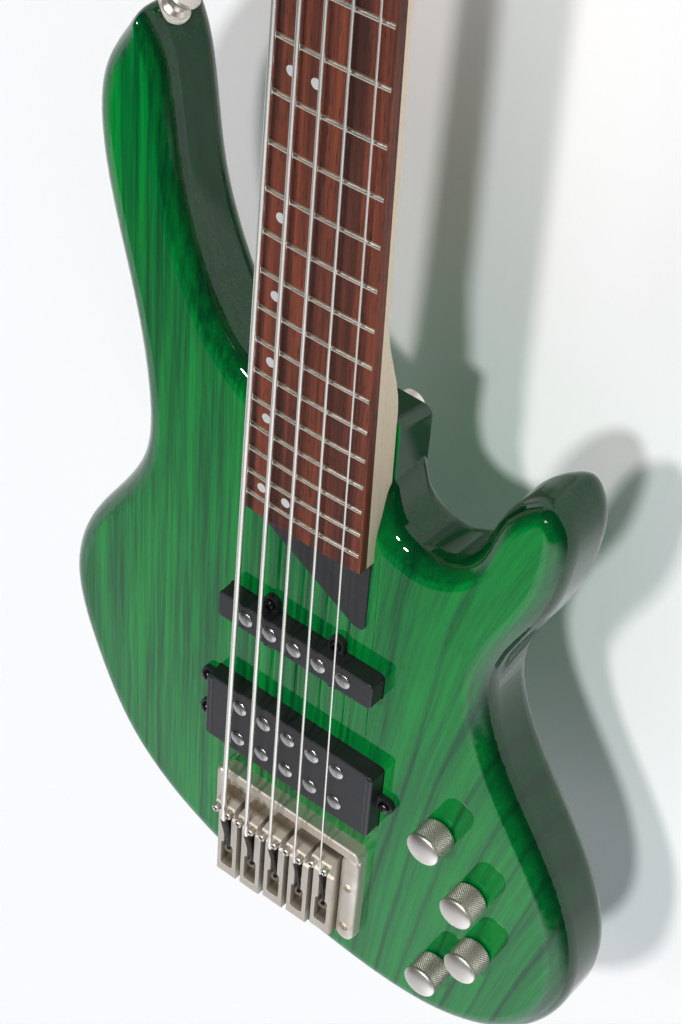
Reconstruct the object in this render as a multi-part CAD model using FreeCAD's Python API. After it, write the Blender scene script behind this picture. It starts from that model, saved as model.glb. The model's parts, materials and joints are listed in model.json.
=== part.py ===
import FreeCAD, Part
import math
import os
from FreeCAD import Vector

# Five-string electric bass guitar, lying on its flat back.
# X points to the treble side, Y to the headstock, Z out of the face.
# The origin is on the back, on the centre line, under the end of the scale.

# How far a cutter runs past a face, and past the whole part
cut_over = 1.0
cut_far = 30.0

# Body
body_thickness = 40.0
body_top_drop = 12.0
body_back_round = 10.0
back_inset_share = 10.0 / 12.0
# Outline points to each patch of the body's skin.
body_patch_points = 4
# Outline seen from the front, from the neck round by the bass side: x, y and the top inset there.
body_outline = [
    (0, 258, 14), (-38, 266, 14), (-56, 279, 13), (-72, 304, 12), (-86, 342, 12),
    (-95, 394, 11), (-104, 419, 8), (-110, 425, 7.5), (-119, 416, 9), (-133, 390, 12),
    (-135.5, 357, 12), (-117.5, 278, 12), (-107.5, 225, 12), (-108.5, 186.5, 12), (-125.5, 149, 12),
    (-149.5, 107, 12), (-155.5, 75, 12), (-142, 22.5, 12), (-117, -23.5, 12), (-74.5, -58, 12),
    (-15, -79, 12), (44, -88, 12), (102, -83.5, 12), (146, -56.5, 12), (168, -8, 12),
    (158, 46, 12), (123.5, 103, 12), (106.5, 135, 12), (101, 160, 12), (107, 190, 12),
    (122.5, 226, 12), (128, 255, 11), (125, 279, 9), (117, 286.5, 8), (103.5, 280.5, 9),
    (90.5, 262, 11), (80.5, 236, 12), (67.5, 224.5, 13), (53, 223, 14), (41, 230, 17),
    (34.5, 247, 18),
]

# Neck joint
heel_tongue_end = 281.0
heel_tongue_rake = 7.0
heel_tongue_bevel = 4.5
heel_tongue_ledge = 1.2
heel_tongue_corner = 5.0
heel_tongue_taper = 0.6
joint_gap = 0.1

# Scale, board and frets
scale_length = 863.6
fret_count = 24
fret_plane_over_body = 12.5
board_past_last_fret = 10.7
board_thickness = 6.0
board_width_nut = 44.0
board_width_end = 69.0
board_camber_radius = 500.0
fret_height = 1.1
fret_width = 2.6
fret_end_inset = 0.8
fret_tang_width = 0.5
fret_tang_depth = 1.6
fret_slot_gap = 0.05
frets_per_octave = 12
dot_radius = 2.5
dot_depth = 1.5
dot_edge_inset = 11.2
dot_pair_share = 0.21

# Neck and headstock
neck_depth = 16.5
neck_shoulder_pull = 0.56
neck_shaft_squareness = 0.04
neck_heel_squareness = 0.86
heel_start = 288.0
heel_blend_length = 52.0
nut_length = 5.0
head_face_drop = 5.5
head_thickness = 14.5
head_blend_length = 21.0
head_root_half_width = 28.0
# Headstock outline from the nut: x and distance past the nut.
head_outline = [
    (-27, 18), (-41.5, 37), (-43.5, 62), (-41.5, 130), (-37.5, 162), (-26, 178), (-8, 184), (12, 176),
    (30, 156), (40, 128), (43, 96), (43.5, 62), (41.5, 37), (27, 18),
]
truss_rod_width = 6.0
truss_rod_depth = 9.0
truss_rod_stop = 12.0
truss_nut_radius = 4.2
truss_nut_length = 9.0
truss_nut_cover_gap = 1.0
truss_access_width = 14.0
truss_access_length = 26.0
truss_access_depth = 11.0
truss_access_corner = 1.0
end_plate_thickness = 1.6
end_plate_side_inset = 0.8
end_plate_length = 44.0
end_plate_slope_start = 8.0
end_plate_foot = 6.0
end_plate_corner = 2.5
neck_bolt_radius = 2.3
neck_bolt_head_radius = 4.4
neck_bolt_half_span = 20.0
neck_bolt_from_heel_end = 18.0
neck_bolt_pitch = 43.0
neck_bolt_bite = 13.0
ferrule_radius = 7.0
ferrule_depth = 4.5
neck_bolt_sink = 1.0
ferrule_edge = 0.4

# Strings, from the thickest to the thinnest
string_names = ("b", "e", "a", "d", "g")
string_diameters = (2.9, 2.4, 1.9, 1.4, 1.0)
string_pitch_bridge = 15.9
string_pitch_nut = 9.4
string_centre_bridge = -1.2
string_centre_nut = -0.4
string_gap_bridge = 3.4
string_gap_nut = 0.8
string_run_past_saddle = 1.9
string_slot_gap = 0.15
saddle_bend = 1.4
nut_bend = 2.0
retainer_bend = 3.0
ball_radius = 3.0
ball_length = 6.0
wrap_quarter_turns = (4, 5, 6, 7, 8)
wrap_gap = 0.6
wrap_clearance = 0.35
wrap_over_bushing = 0.6

# Bridge
saddle_break_y = (-11.4, -11.0, -8.6, -7.4, -4.0)
saddle_width = 12.6
saddle_land = 7.0
saddle_front_drop = 5.0
saddle_front_slope = 1.3
saddle_edge = 0.8
saddle_step = 1.4
saddle_string_gap = 0.12
saddle_slide_gap = 0.05
block_top_over_body = 12.0
block_front = 6.6
block_rear = 54.0
block_nose_drop = 1.2
string_slot_width = 4.6
string_slot_floor = 2.0
ball_pocket_width = 7.8
ball_pocket_front = 28.6
ball_pocket_rear = 47.0
ball_back_off = 1.8
ball_height = 4.4
bridge_plate_thickness = 2.5
bridge_front_y = 12.5
bridge_lip_length = 6.0
bridge_lip_height = 8.0
bridge_rear_y = -60.0
bridge_corner = 4.0
bridge_lip_round = 1.4
rail_inner_gap = 0.5
rail_width = 10.8
rail_height = 6.0
rail_round = 2.6
bass_wall_thickness = 2.0
bass_wall_drop = 1.0
bass_wall_rear_y = -14.0
bridge_screw_y = (-17.0, -49.0)
bridge_screw_radius = 1.8
bridge_screw_head_radius = 3.6
bridge_screw_bite = 16.0
bridge_screw_sink = 0.6
bridge_screw_room = 0.3

# Pickups
pickup_height = 9.5
pickup_wall = 1.5
pickup_below = 14.0
pickup_rout_gap = 0.4
pickup_rout_depth = 20.0
pickup_corner = 2.5
pickup_edge = 0.8
pole_radius = 4.5
pole_proud = 0.5
pole_edge = 0.5
pole_length = 16.0
coil_height = 10.0
coil_window_gap = 0.3
coil_length_past_poles = 6.0
ear_radius = 4.6
ear_height = 3.2
ear_offset = 4.4
pickup_screw_radius = 1.5
pickup_screw_head_radius = 3.1
pickup_screw_head_height = 2.2
pickup_screw_bite = 12.0
neck_pickup_share = 0.1517
neck_pickup_length = 94.0
neck_pickup_width = 16.5
neck_pickup_ear_half_span = 20.0
bridge_pickup_share = 0.0637
bridge_pickup_length = 105.0
bridge_pickup_width = 44.0
bridge_pickup_ear_half_span = 12.0
bridge_pickup_row_pitch = 22.8

# Controls
knob_centres = [(88.5, 59), (111.5, 29), (118.5, -9), (97, -40)]
knob_radius = 9.25
knob_height = 14.6
knob_lift = 1.1
knob_dome = 0.9
knob_flutes = 40
knob_flute_depth = 0.3
knob_skirt = 1.3
knob_recess_radius = 7.4
knob_recess_depth = 4.6
shaft_radius = 3.0
shaft_fit = 0.05
shaft_bush_gap = 0.1
shaft_end_gap = 0.3
shaft_knob_depth = 8.0
pot_radius = 12.0
pot_height = 9.0
pot_bush_radius = 4.6
pot_bush_over_body = 4.0
pot_nut_radius = 7.0
pot_nut_height = 2.2
control_roof = 5.0
control_margin = 19.0
control_corner = 12.0
cover_thickness = 2.5
cover_lip = 6.0
cover_gap = 0.25
cover_screw_radius = 1.4
cover_screw_head_radius = 2.8
cover_screw_bite = 10.0
cover_screw_sink = 0.05
jack_angle = -40.0
jack_point = (148.4, -53.9)
jack_bore_radius = 3.2
jack_bore_length = 24.0
jack_barrel_radius = 6.2
jack_barrel_length = 30.0
jack_flange_radius = 10.0
jack_flange_height = 2.0
jack_seat_depth = 2.5
jack_edge = 0.6

# Strap buttons
strap_horn_point = (-106.0, 422.0)
strap_horn_angle = 56.0
strap_tail_point = (4.0, -82.8)
strap_tail_angle = -100.0
strap_seat_depth = 1.6
strap_washer_radius = 7.6
strap_washer_height = 1.6
strap_button_height = 12.0
strap_button_radius = 7.3
strap_button_waist = 4.3
strap_button_foot = 6.4
strap_screw_radius = 2.0
strap_screw_bite = 22.0
strap_screw_head_radius = 3.4
strap_screw_head_height = 1.4

# Tuners
tuner_first = 62.0
tuner_pitch = 42.0
tuner_x = (-28.0, -26.5, -25.0, 26.5, 28.0)
bass_side_tuners = 3
gear_teeth = 20
gear_pitch_radius = 10.0
gear_thickness = 4.5
worm_pitch_radius = 3.5
worm_turns = 4
tooth_thickness = 1.05
tooth_addendum = 0.9
tooth_dedendum = 1.15
tooth_flank_angle = 20.0
worm_root_overlap = 0.1
tuner_plate_thickness = 1.6
tuner_plate_half_length = 12.0
tuner_plate_past_worm = 10.0
tuner_plate_past_post = 13.0
tuner_plate_corner = 2.0
tuner_screw_edge = 2.6
tuner_ear_half_width = 4.1
tuner_ear_depth = 4.0
tuner_ear_thickness = 1.9
tuner_running_gap = 0.1
tuner_end_gap = 0.3
post_radius = 4.0
post_waist_radius = 3.4
post_over_face = 18.5
post_collar = 1.6
post_foot_radius = 3.4
post_foot_height = 1.2
post_head_height = 5.5
post_edge = 0.6
post_slit_width = 1.8
post_slit_depth = 5.0
post_well_radius = 1.5
post_well_depth = 12.0
bushing_flange_radius = 7.2
bushing_sleeve_radius = 6.0
bushing_flange_height = 2.0
bushing_edge = 0.8
key_journal_radius = 2.2
key_neck_length = 22.0
key_end_past_ear = 0.8
key_shaft_in_button = 4.0
key_button_length = 20.0
key_button_half_width = 11.0
key_button_thickness = 5.6
small_screw_radius = 1.3
small_screw_head_radius = 2.5
small_screw_head_height = 1.5
small_screw_bite = 9.0
retainer_from_nut = 36.0
retainer_radius = 3.0
retainer_half_length = 30.5
retainer_over_face = 14.6
retainer_string_gap = 0.25
retainer_foot_inset = 0.4
retainer_screw_sink = 1.0

# Levels and lines worked out from the sizes above
body_top = body_thickness
fret_top = body_top + fret_plane_over_body
board_top = fret_top - fret_height
board_bottom = board_top - board_thickness
neck_bottom = board_bottom - neck_depth
head_top = board_bottom - head_face_drop
head_back = head_top - head_thickness
bridge_floor = body_top + bridge_plate_thickness
neck_pickup_y = neck_pickup_share * scale_length
bridge_pickup_y = bridge_pickup_share * scale_length
rail_inner_x = 2.0 * string_pitch_bridge + saddle_width / 2.0 + rail_inner_gap
rail_outer_x = rail_inner_x + rail_width
axial_pitch = 2.0 * math.pi * gear_pitch_radius / gear_teeth
worm_tip_radius = worm_pitch_radius + tooth_addendum
worm_root_radius = worm_pitch_radius - tooth_dedendum
worm_offset = gear_pitch_radius + worm_pitch_radius
worm_z = head_back - tuner_plate_thickness - worm_tip_radius - tuner_end_gap


def save(name, shape):
    """Write one named piece."""
    shape.exportStep("parts/" + name + ".step")


def fret_y(number):
    """Distance of a fret from the end of the scale."""
    return scale_length * 2.0 ** (-number / 12.0)


board_end_y = fret_y(fret_count) - board_past_last_fret


def board_half_width(y):
    """Half of the board's width, which widens evenly from the nut to its end."""
    share = (scale_length - y) / (scale_length - board_end_y)
    return (board_width_nut + share * (board_width_end - board_width_nut)) / 2.0


def camber_drop(x):
    """How far the cambered board lies below its crown at a distance from the centre line."""
    return board_camber_radius - math.sqrt(board_camber_radius ** 2 - x * x)


def rounded_outline(corners, z):
    """Closed wire through corners (x, y, radius) in one level plane."""
    points = [Vector(x, y, z) for x, y, _ in corners]
    starts, arcs, ends = [], [], []
    for index, point in enumerate(points):
        radius = corners[index][2]
        back = (points[index - 1] - point).normalize()
        onward = (points[(index + 1) % len(points)] - point).normalize()
        if radius == 0:
            starts.append(point)
            ends.append(point)
            arcs.append(None)
            continue
        half = back.getAngle(onward) / 2.0
        reach = radius / math.tan(half)
        inward = (back + onward).normalize()
        starts.append(point + back * reach)
        ends.append(point + onward * reach)
        middle = point + inward * (radius / math.sin(half) - radius)
        arcs.append(Part.Arc(starts[-1], middle, ends[-1]).toShape())
    edges = []
    for index in range(len(points)):
        if arcs[index]:
            edges.append(arcs[index])
        following = starts[(index + 1) % len(points)]
        if (following - ends[index]).Length > 1e-6:
            edges.append(Part.LineSegment(ends[index], following).toShape())
    return Part.Wire(edges)


def prism(corners, z0, z1):
    """Upright block with rounded corners."""
    return Part.Face(rounded_outline(corners, z0)).extrude(Vector(0, 0, z1 - z0))


def rectangle(x0, x1, y0, y1, radius=0.0):
    """Corners of a rounded rectangle, for prism."""
    return [(x0, y0, radius), (x1, y0, radius), (x1, y1, radius), (x0, y1, radius)]


def block(x0, x1, y0, y1, z0, z1):
    """Plain box between two corners."""
    return Part.makeBox(x1 - x0, y1 - y0, z1 - z0, Vector(x0, y0, z0))


def rod(x, y, z0, z1, radius):
    """Upright cylinder."""
    return Part.makeCylinder(radius, z1 - z0, Vector(x, y, z0))


def turned(profile):
    """Solid of revolution about Z from a profile of (radius, height)."""
    points = [Vector(r, 0, h) for r, h in profile]
    face = Part.Face(Part.makePolygon(points + points[:1]))
    return face.revolve(Vector(0, 0, 0), Vector(0, 0, 1), 360)


def aimed(shape, point, direction):
    """Copy of a shape made along Z, set at a point and turned to a direction."""
    copy = shape.copy()
    copy.Placement = FreeCAD.Placement(point, FreeCAD.Rotation(Vector(0, 0, 1), direction))
    return copy


def countersunk_screw(radius, head_radius, length):
    """Screw along Z with its flat head at zero and its tip below."""
    return turned([(0, 0), (head_radius, 0), (radius, radius - head_radius), (radius, -length + radius),
                   (0, -length)])


def pan_screw(radius, head_radius, head_height, length):
    """Screw along Z with a domed head standing on zero and its tip below."""
    return turned([(0, head_height), (0.7 * head_radius, head_height), (head_radius, 0.45 * head_height),
                   (head_radius, 0), (radius, 0), (radius, -length + radius), (0, -length)])


def spline_row(points, parameters):
    """Closed smooth curve through points at given parameters."""
    curve = Part.BSplineCurve()
    curve.interpolate(Points=points, PeriodicFlag=True, Parameters=parameters)
    return curve


def body_slab():
    """Body with elliptical roundovers: a smooth skin round the outline, closed by two flat faces."""
    plan = [Vector(x, y, 0) for x, y, _ in body_outline]
    parameters = [0.0]
    for index in range(len(plan)):
        step = plan[(index + 1) % len(plan)] - plan[index]
        parameters.append(parameters[-1] + step.Length)
    guide = spline_row(plan, parameters)
    rows = [[] for _ in range(7)]
    for (x, y, inset), parameter in zip(body_outline, parameters):
        along = guide.tangent(parameter)[0]
        outward = Vector(along.y, -along.x, 0)
        edge = Vector(x, y, 0)
        top_edge = edge - outward * inset
        back_edge = edge - outward * (inset * back_inset_share)
        wall_top = body_thickness - body_top_drop
        levels = (
            (top_edge, body_thickness), (edge, body_thickness), (edge, wall_top),
            (edge, (wall_top + body_back_round) / 2.0), (edge, body_back_round), (edge, 0), (back_edge, 0),
        )
        for row, (place, z) in zip(rows, levels):
            row.append(Vector(place.x, place.y, z))
    curves = [spline_row(row, parameters) for row in rows]
    poles = [list(column) for column in zip(*[curve.getPoles() for curve in curves])]
    corner = math.sqrt(0.5)
    weights = [[1, corner, 1, 1, 1, corner, 1] for _ in poles]
    skin = Part.BSplineSurface()
    skin.buildFromPolesMultsKnots(poles, guide.getMultiplicities(), [3, 2, 2, 3], guide.getKnots(),
                                  [0, 1, 2, 3], True, False, 3, 2, weights)
    skin.setUNotPeriodic()
    breaks = parameters[:-body_patch_points:body_patch_points] + parameters[-1:]
    faces, rims = [], {0.0: [], body_thickness: []}
    for start, end in zip(breaks, breaks[1:]):
        for band in range(3):
            patch = skin.copy()
            patch.segment(start, end, band, band + 1)
            face = patch.toShape()
            faces.append(face)
            for edge in face.Edges:
                for level in rims:
                    if abs(edge.BoundBox.ZMin - level) + abs(edge.BoundBox.ZMax - level) < 0.01:
                        rims[level].append(edge)
    caps = [Part.Face(Part.Wire(Part.__sortEdges__(edges))) for edges in rims.values()]
    shell = Part.makeShell(faces + caps)
    shell.sewShape()
    slab = Part.makeSolid(shell)
    if slab.Volume < 0:
        slab.reverse()
    return slab


def heel_tongue():
    """Part of the body that carries the neck heel past the cutaways, raked and bevelled at its end."""
    half = board_half_width(heel_tongue_end) + heel_tongue_ledge
    inner_half = board_half_width(board_end_y) - neck_bolt_half_span
    levels = (
        (neck_bottom, 0.0, 0.0),
        (heel_tongue_bevel, heel_tongue_rake, heel_tongue_taper),
        (0.0, heel_tongue_rake + heel_tongue_bevel, heel_tongue_bevel),
    )
    wires = []
    for z, shortened, narrowed in levels:
        end = heel_tongue_end - shortened
        side = half - narrowed
        wires.append(rounded_outline([
            (-inner_half, board_end_y + inner_half, 0), (inner_half, board_end_y + inner_half, 0),
            (side, heel_start - heel_blend_length, 0), (side, end, heel_tongue_corner),
            (-side, end, heel_tongue_corner), (-side, heel_start - heel_blend_length, 0)], z))
    return Part.makeLoft(wires, True, True)


def heel_plan(gap, far_y):
    """Corners of the neck heel in plan, widened by a gap."""
    near = board_half_width(board_end_y) + gap
    far = board_half_width(far_y) + gap
    near_y = board_end_y - gap
    return [(-near, near_y, 0), (near, near_y, 0), (far, far_y, 0), (-far, far_y, 0)]


def neck_bolt_places():
    """Centres of the four neck bolts."""
    first = board_end_y + neck_bolt_from_heel_end
    return [(side * neck_bolt_half_span, y) for side in (-1, 1) for y in (first, first + neck_bolt_pitch)]


def control_corners(grow):
    """Outline round the four controls, grown by a margin."""
    (x1, y1), (x2, y2), (x3, y3), (x4, y4) = knob_centres
    corners = [(x1 - grow, y1 + 0.8 * grow), (x1 + 0.6 * grow, y1 + 0.8 * grow),
               (x2 + 0.95 * grow, y2 + 0.3 * grow), (x3 + 0.95 * grow, y3 - 0.5 * grow),
               (x4 + 0.7 * grow, y4 - 0.85 * grow), (x4 - 1.2 * grow, y4 - 0.85 * grow)]
    return [(x, y, control_corner) for x, y in corners]


def cover_screw_places():
    """Screw centres on the lip of the control cover."""
    corners = control_corners(control_margin + cover_lip / 2.0)
    centre_x = sum(x for x, _, _ in corners) / len(corners)
    centre_y = sum(y for _, y, _ in corners) / len(corners)
    places = []
    for x, y, radius in (corners[0], corners[2], corners[3], corners[4], corners[5]):
        toward = Vector(centre_x - x, centre_y - y, 0).normalize() * (radius * 0.42)
        places.append((x + toward.x, y + toward.y))
    return places


def in_plan(angle):
    """Level direction at an angle from +X."""
    return Vector(math.cos(math.radians(angle)), math.sin(math.radians(angle)), 0)


jack_out = in_plan(jack_angle)
jack_seat = Vector(jack_point[0], jack_point[1], body_thickness / 2.0) - jack_out * jack_seat_depth
strap_frames = []
strap_seats = ((strap_horn_point, strap_horn_angle), (strap_tail_point, strap_tail_angle))
for strap_point, strap_angle in strap_seats:
    strap_out = in_plan(strap_angle)
    strap_base = Vector(strap_point[0], strap_point[1], body_thickness / 2.0) - strap_out * strap_seat_depth
    strap_frames.append((strap_base, strap_out))


def pickup_rout(length, width, y):
    """Cavity for a pickup in the face of the body."""
    half_length = length / 2.0 + pickup_rout_gap
    half_width = width / 2.0 + pickup_rout_gap
    corners = rectangle(-half_length, half_length, y - half_width, y + half_width, pickup_corner)
    return prism(corners, body_top - pickup_rout_depth, body_top + cut_over)


def ear_places(kind):
    """Centres of a pickup's screw ears."""
    if kind == "neck":
        reach = neck_pickup_width / 2.0 + ear_offset
        span = neck_pickup_ear_half_span
        return [(sx * span, neck_pickup_y + sy * reach) for sx in (-1, 1) for sy in (-1, 1)]
    reach = bridge_pickup_length / 2.0 + ear_offset
    span = bridge_pickup_ear_half_span
    return [(-reach, bridge_pickup_y - span), (-reach, bridge_pickup_y + span), (reach, bridge_pickup_y)]


def bridge_screw_places():
    """Centres of the screws in the treble rail."""
    return [(string_centre_bridge + (rail_inner_x + rail_outer_x) / 2.0, y) for y in bridge_screw_y]


def make_body():
    """Ash body with its neck pocket, routs, bores and seats."""
    solid = body_slab().fuse(heel_tongue())
    cuts = [prism(heel_plan(joint_gap, heel_tongue_end + cut_far), neck_bottom, body_top + cut_far)]
    half_access = truss_access_width / 2.0
    access_end = board_end_y - truss_access_length
    access = rectangle(-half_access, half_access, access_end, board_end_y + cut_over, truss_access_corner)
    cuts.append(prism(access, body_top - truss_access_depth, body_top + cut_over))
    for x, y in neck_bolt_places():
        cuts.append(rod(x, y, -cut_over, neck_bottom + cut_over, neck_bolt_radius + joint_gap))
        cuts.append(rod(x, y, -cut_over, ferrule_depth, ferrule_radius))
    cuts.append(pickup_rout(neck_pickup_length, neck_pickup_width, neck_pickup_y))
    cuts.append(pickup_rout(bridge_pickup_length, bridge_pickup_width, bridge_pickup_y))
    for x, y in ear_places("neck") + ear_places("bridge"):
        cuts.append(rod(x, y, body_top - pickup_screw_bite, body_top + cut_over, pickup_screw_radius))
    for x, y in bridge_screw_places():
        cuts.append(rod(x, y, body_top - bridge_screw_bite, body_top + cut_over, bridge_screw_radius))
    cuts.append(prism(control_corners(control_margin), -cut_over, body_top - control_roof))
    cuts.append(prism(control_corners(control_margin + cover_lip), -cut_over, cover_thickness))
    for x, y in cover_screw_places():
        cuts.append(rod(x, y, 0, cover_thickness + cover_screw_bite, cover_screw_radius))
    roof = body_top - control_roof
    for x, y in knob_centres:
        cuts.append(rod(x, y, roof - cut_over, body_top + cut_over, pot_bush_radius + joint_gap))
    barrel = Part.makeCylinder(jack_barrel_radius + joint_gap, jack_barrel_length + cut_far)
    cuts.append(aimed(barrel, jack_seat, -jack_out))
    cuts.append(aimed(Part.makeCylinder(jack_flange_radius + joint_gap, cut_far), jack_seat, jack_out))
    for base, out in strap_frames:
        cuts.append(aimed(Part.makeCylinder(strap_washer_radius + joint_gap, cut_far), base, out))
        cuts.append(aimed(Part.makeCylinder(strap_screw_radius, strap_screw_bite), base, -out))
    return solid.cut(cuts).removeSplitter()


def neck_section(y, half, top, depth, squareness):
    """Flat-topped neck section: straight sides and back joined by two curved shoulders."""
    low, side, flat = top - depth, top - depth * squareness, half * squareness
    shoulder = [Vector(-half, y, side), Vector(-half, y, side + neck_shoulder_pull * (low - side)),
                Vector(-flat - neck_shoulder_pull * (half - flat), y, low), Vector(-flat, y, low)]
    left, right = Part.BezierCurve(), Part.BezierCurve()
    left.setPoles(shoulder)
    right.setPoles([Vector(-p.x, p.y, p.z) for p in reversed(shoulder)])
    lines = [Part.LineSegment(Vector(-half, y, top), shoulder[0]), left,
             Part.LineSegment(shoulder[3], Vector(flat, y, low)), right,
             Part.LineSegment(Vector(half, y, side), Vector(half, y, top)),
             Part.LineSegment(Vector(half, y, top), Vector(-half, y, top))]
    return Part.Wire([line.toShape() for line in lines])


def head_curve_wire(z):
    """Closed outline of the headstock at one level."""
    points = [Vector(x, scale_length + past, z) for x, past in head_outline]
    curve = Part.BSplineCurve()
    curve.interpolate(Points=points)
    root = Part.LineSegment(points[-1], points[0])
    return Part.Wire([curve.toShape(), root.toShape()])


def neck_shaft(y, squareness=neck_shaft_squareness):
    """Neck section under the board at a place along it."""
    return neck_section(y, board_half_width(y), board_bottom, neck_depth, squareness)


def post_places():
    """Centre and side of each tuner post, in the order of the strings."""
    places = []
    for index, x in enumerate(tuner_x):
        treble = index >= bass_side_tuners
        step = len(tuner_x) - 1 - index if treble else index
        places.append((x, scale_length + tuner_first + step * tuner_pitch, 1 if treble else -1))
    return places


def tuner_screw_places(x, y, side):
    """Screw centres of one tuner plate."""
    reach_x = tuner_plate_half_length - tuner_screw_edge
    near = tuner_plate_past_post - tuner_screw_edge
    far = tuner_screw_edge - worm_offset - tuner_plate_past_worm
    return [(x + sx * reach_x, y - side * offset) for sx in (-1, 1) for offset in (near, far)]


def retainer_screw_places():
    """Screw centres of the string retainer."""
    y = scale_length + retainer_from_nut
    return [(side * (retainer_half_length - retainer_radius), y) for side in (-1, 1)]


def make_neck():
    """Maple neck: tapered shaft, squared heel and flat headstock."""
    blend_start = heel_start + heel_blend_length
    seat_y = scale_length + nut_length
    shaft = Part.makeLoft([neck_shaft(blend_start), neck_shaft(seat_y)], True, True)
    blend = []
    steps = 6
    for index in range(steps + 1):
        share = index / steps
        ease = share * share * (3 - 2 * share)
        squareness = neck_heel_squareness + ease * (neck_shaft_squareness - neck_heel_squareness)
        blend.append(neck_shaft(heel_start + share * heel_blend_length, squareness))
    heel = Part.makeLoft([neck_shaft(board_end_y, neck_heel_squareness),
                          neck_shaft(heel_start, neck_heel_squareness)], True, True)
    root = neck_section(seat_y + head_blend_length, head_root_half_width, head_top, head_thickness,
                        neck_heel_squareness)
    throat = Part.makeLoft([neck_shaft(seat_y), root], True, True)
    head = Part.Face(head_curve_wire(head_back)).extrude(Vector(0, 0, head_thickness))
    solid = shaft.multiFuse([Part.makeLoft(blend, True, False), heel, throat, head])
    half_rod = truss_rod_width / 2.0
    rod_top = scale_length - truss_rod_stop
    rod_floor = board_bottom - truss_rod_depth
    cuts = [block(-half_rod, half_rod, board_end_y - cut_over, rod_top, rod_floor, board_top)]
    for x, y in neck_bolt_places():
        cuts.append(rod(x, y, neck_bottom - cut_over, neck_bottom + neck_bolt_bite, neck_bolt_radius))
    for x, y, side in post_places():
        cuts.append(rod(x, y, head_back - cut_over, head_top + cut_over, bushing_sleeve_radius))
        for screw_x, screw_y in tuner_screw_places(x, y, side):
            cuts.append(rod(screw_x, screw_y, head_back - cut_over, head_back + small_screw_bite,
                            small_screw_radius))
    for x, y in retainer_screw_places():
        cuts.append(rod(x, y, head_top - small_screw_bite, head_top + cut_over, small_screw_radius))
    return solid.cut(cuts).removeSplitter()


def dot_places():
    """Centres of the position dots on the bass side: single ones in each octave and a pair at its end."""
    places = []
    for octave in range(fret_count // frets_per_octave):
        first = octave * frets_per_octave
        for number in (first + 3, first + 5, first + 7, first + 9, first + frets_per_octave):
            y = (fret_y(number) + fret_y(number - 1)) / 2.0
            x = dot_edge_inset - board_half_width(y)
            places.append((x, y))
            if number == first + frets_per_octave:
                places.append((x + dot_pair_share * 2.0 * board_half_width(y), y))
    return places


def fret_arc(y, profile, half):
    """Bar across the cambered board from a profile in the length direction."""
    centre = Vector(0, y, board_top - board_camber_radius)
    turn = math.degrees(math.asin(half / board_camber_radius))
    face = Part.Face(profile)
    face.rotate(centre, Vector(0, 1, 0), -turn)
    return face.revolve(centre, Vector(0, 1, 0), 2.0 * turn)


def fret_profile(y):
    """Domed crown standing on a tang."""
    half, tang = fret_width / 2.0, fret_tang_width / 2.0
    foot = board_top - fret_tang_depth
    crown = Part.Arc(Vector(0, y - half, board_top), Vector(0, y, fret_top), Vector(0, y + half, board_top))
    under = [Vector(0, y + half, board_top), Vector(0, y + tang, board_top), Vector(0, y + tang, foot),
             Vector(0, y - tang, foot), Vector(0, y - tang, board_top), Vector(0, y - half, board_top)]
    return Part.Wire([crown.toShape()] + Part.makePolygon(under).Edges)


def slot_profile(y):
    """Slot that a fret's tang is pressed into."""
    half = fret_tang_width / 2.0 + fret_slot_gap
    low, high = board_top - fret_tang_depth - fret_slot_gap, board_top + fret_height
    return Part.makePolygon([Vector(0, y - half, low), Vector(0, y + half, low), Vector(0, y + half, high),
                             Vector(0, y - half, high), Vector(0, y - half, low)])


def fret_half(y):
    """Half of a fret's length."""
    return board_half_width(y) - fret_end_inset


def make_frets():
    """All frets as separate bars."""
    lines = [fret_y(number) for number in range(1, fret_count + 1)]
    return Part.makeCompound([fret_arc(y, fret_profile(y), fret_half(y)) for y in lines])


def board_section(y):
    """Flat-bottomed, cambered section of the board."""
    half = board_half_width(y)
    edge = board_top - camber_drop(half)
    left, right = Vector(-half, y, board_bottom), Vector(half, y, board_bottom)
    high_left, high_right = Vector(-half, y, edge), Vector(half, y, edge)
    crown = Part.Arc(high_right, Vector(0, y, board_top), high_left)
    sides = [Part.LineSegment(left, right), Part.LineSegment(right, high_right), crown,
             Part.LineSegment(high_left, left)]
    return Part.Wire([line.toShape() for line in sides])


def dot_level(x):
    """Height of a dot's face, level with the board at its centre."""
    return board_top - camber_drop(x)


def make_fretboard():
    """Rosewood board with fret slots and dot holes."""
    solid = Part.makeLoft([board_section(board_end_y), board_section(scale_length)], True, True)
    cuts = []
    for number in range(1, fret_count + 1):
        y = fret_y(number)
        cuts.append(fret_arc(y, slot_profile(y), fret_half(y) + fret_slot_gap))
    for x, y in dot_places():
        cuts.append(rod(x, y, dot_level(x) - dot_depth, board_top + cut_over, dot_radius))
    return solid.cut(cuts)


def make_dots():
    """Pearl dots set in the board."""
    return Part.makeCompound([rod(x, y, dot_level(x) - dot_depth, dot_level(x), dot_radius)
                              for x, y in dot_places()])


def string_pitch(y):
    """Spacing of the strings, which fan from the nut to the bridge."""
    return string_pitch_bridge + (string_pitch_nut - string_pitch_bridge) * y / scale_length


def pole_x(index, y):
    """Sideways place of a pole piece, on the fan of the strings about the centre line."""
    return (index - 2) * string_pitch(y)


def string_x(index, y):
    """Sideways place of a string."""
    centre = string_centre_bridge + (string_centre_nut - string_centre_bridge) * y / scale_length
    return centre + pole_x(index, y)


def string_z(index, y):
    """Height of a string's axis between the nut and the bridge."""
    share = y / scale_length
    gap = string_gap_bridge + (string_gap_nut - string_gap_bridge) * share
    return fret_top + gap + string_diameters[index] / 2.0 - camber_drop(string_x(index, y))


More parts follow.
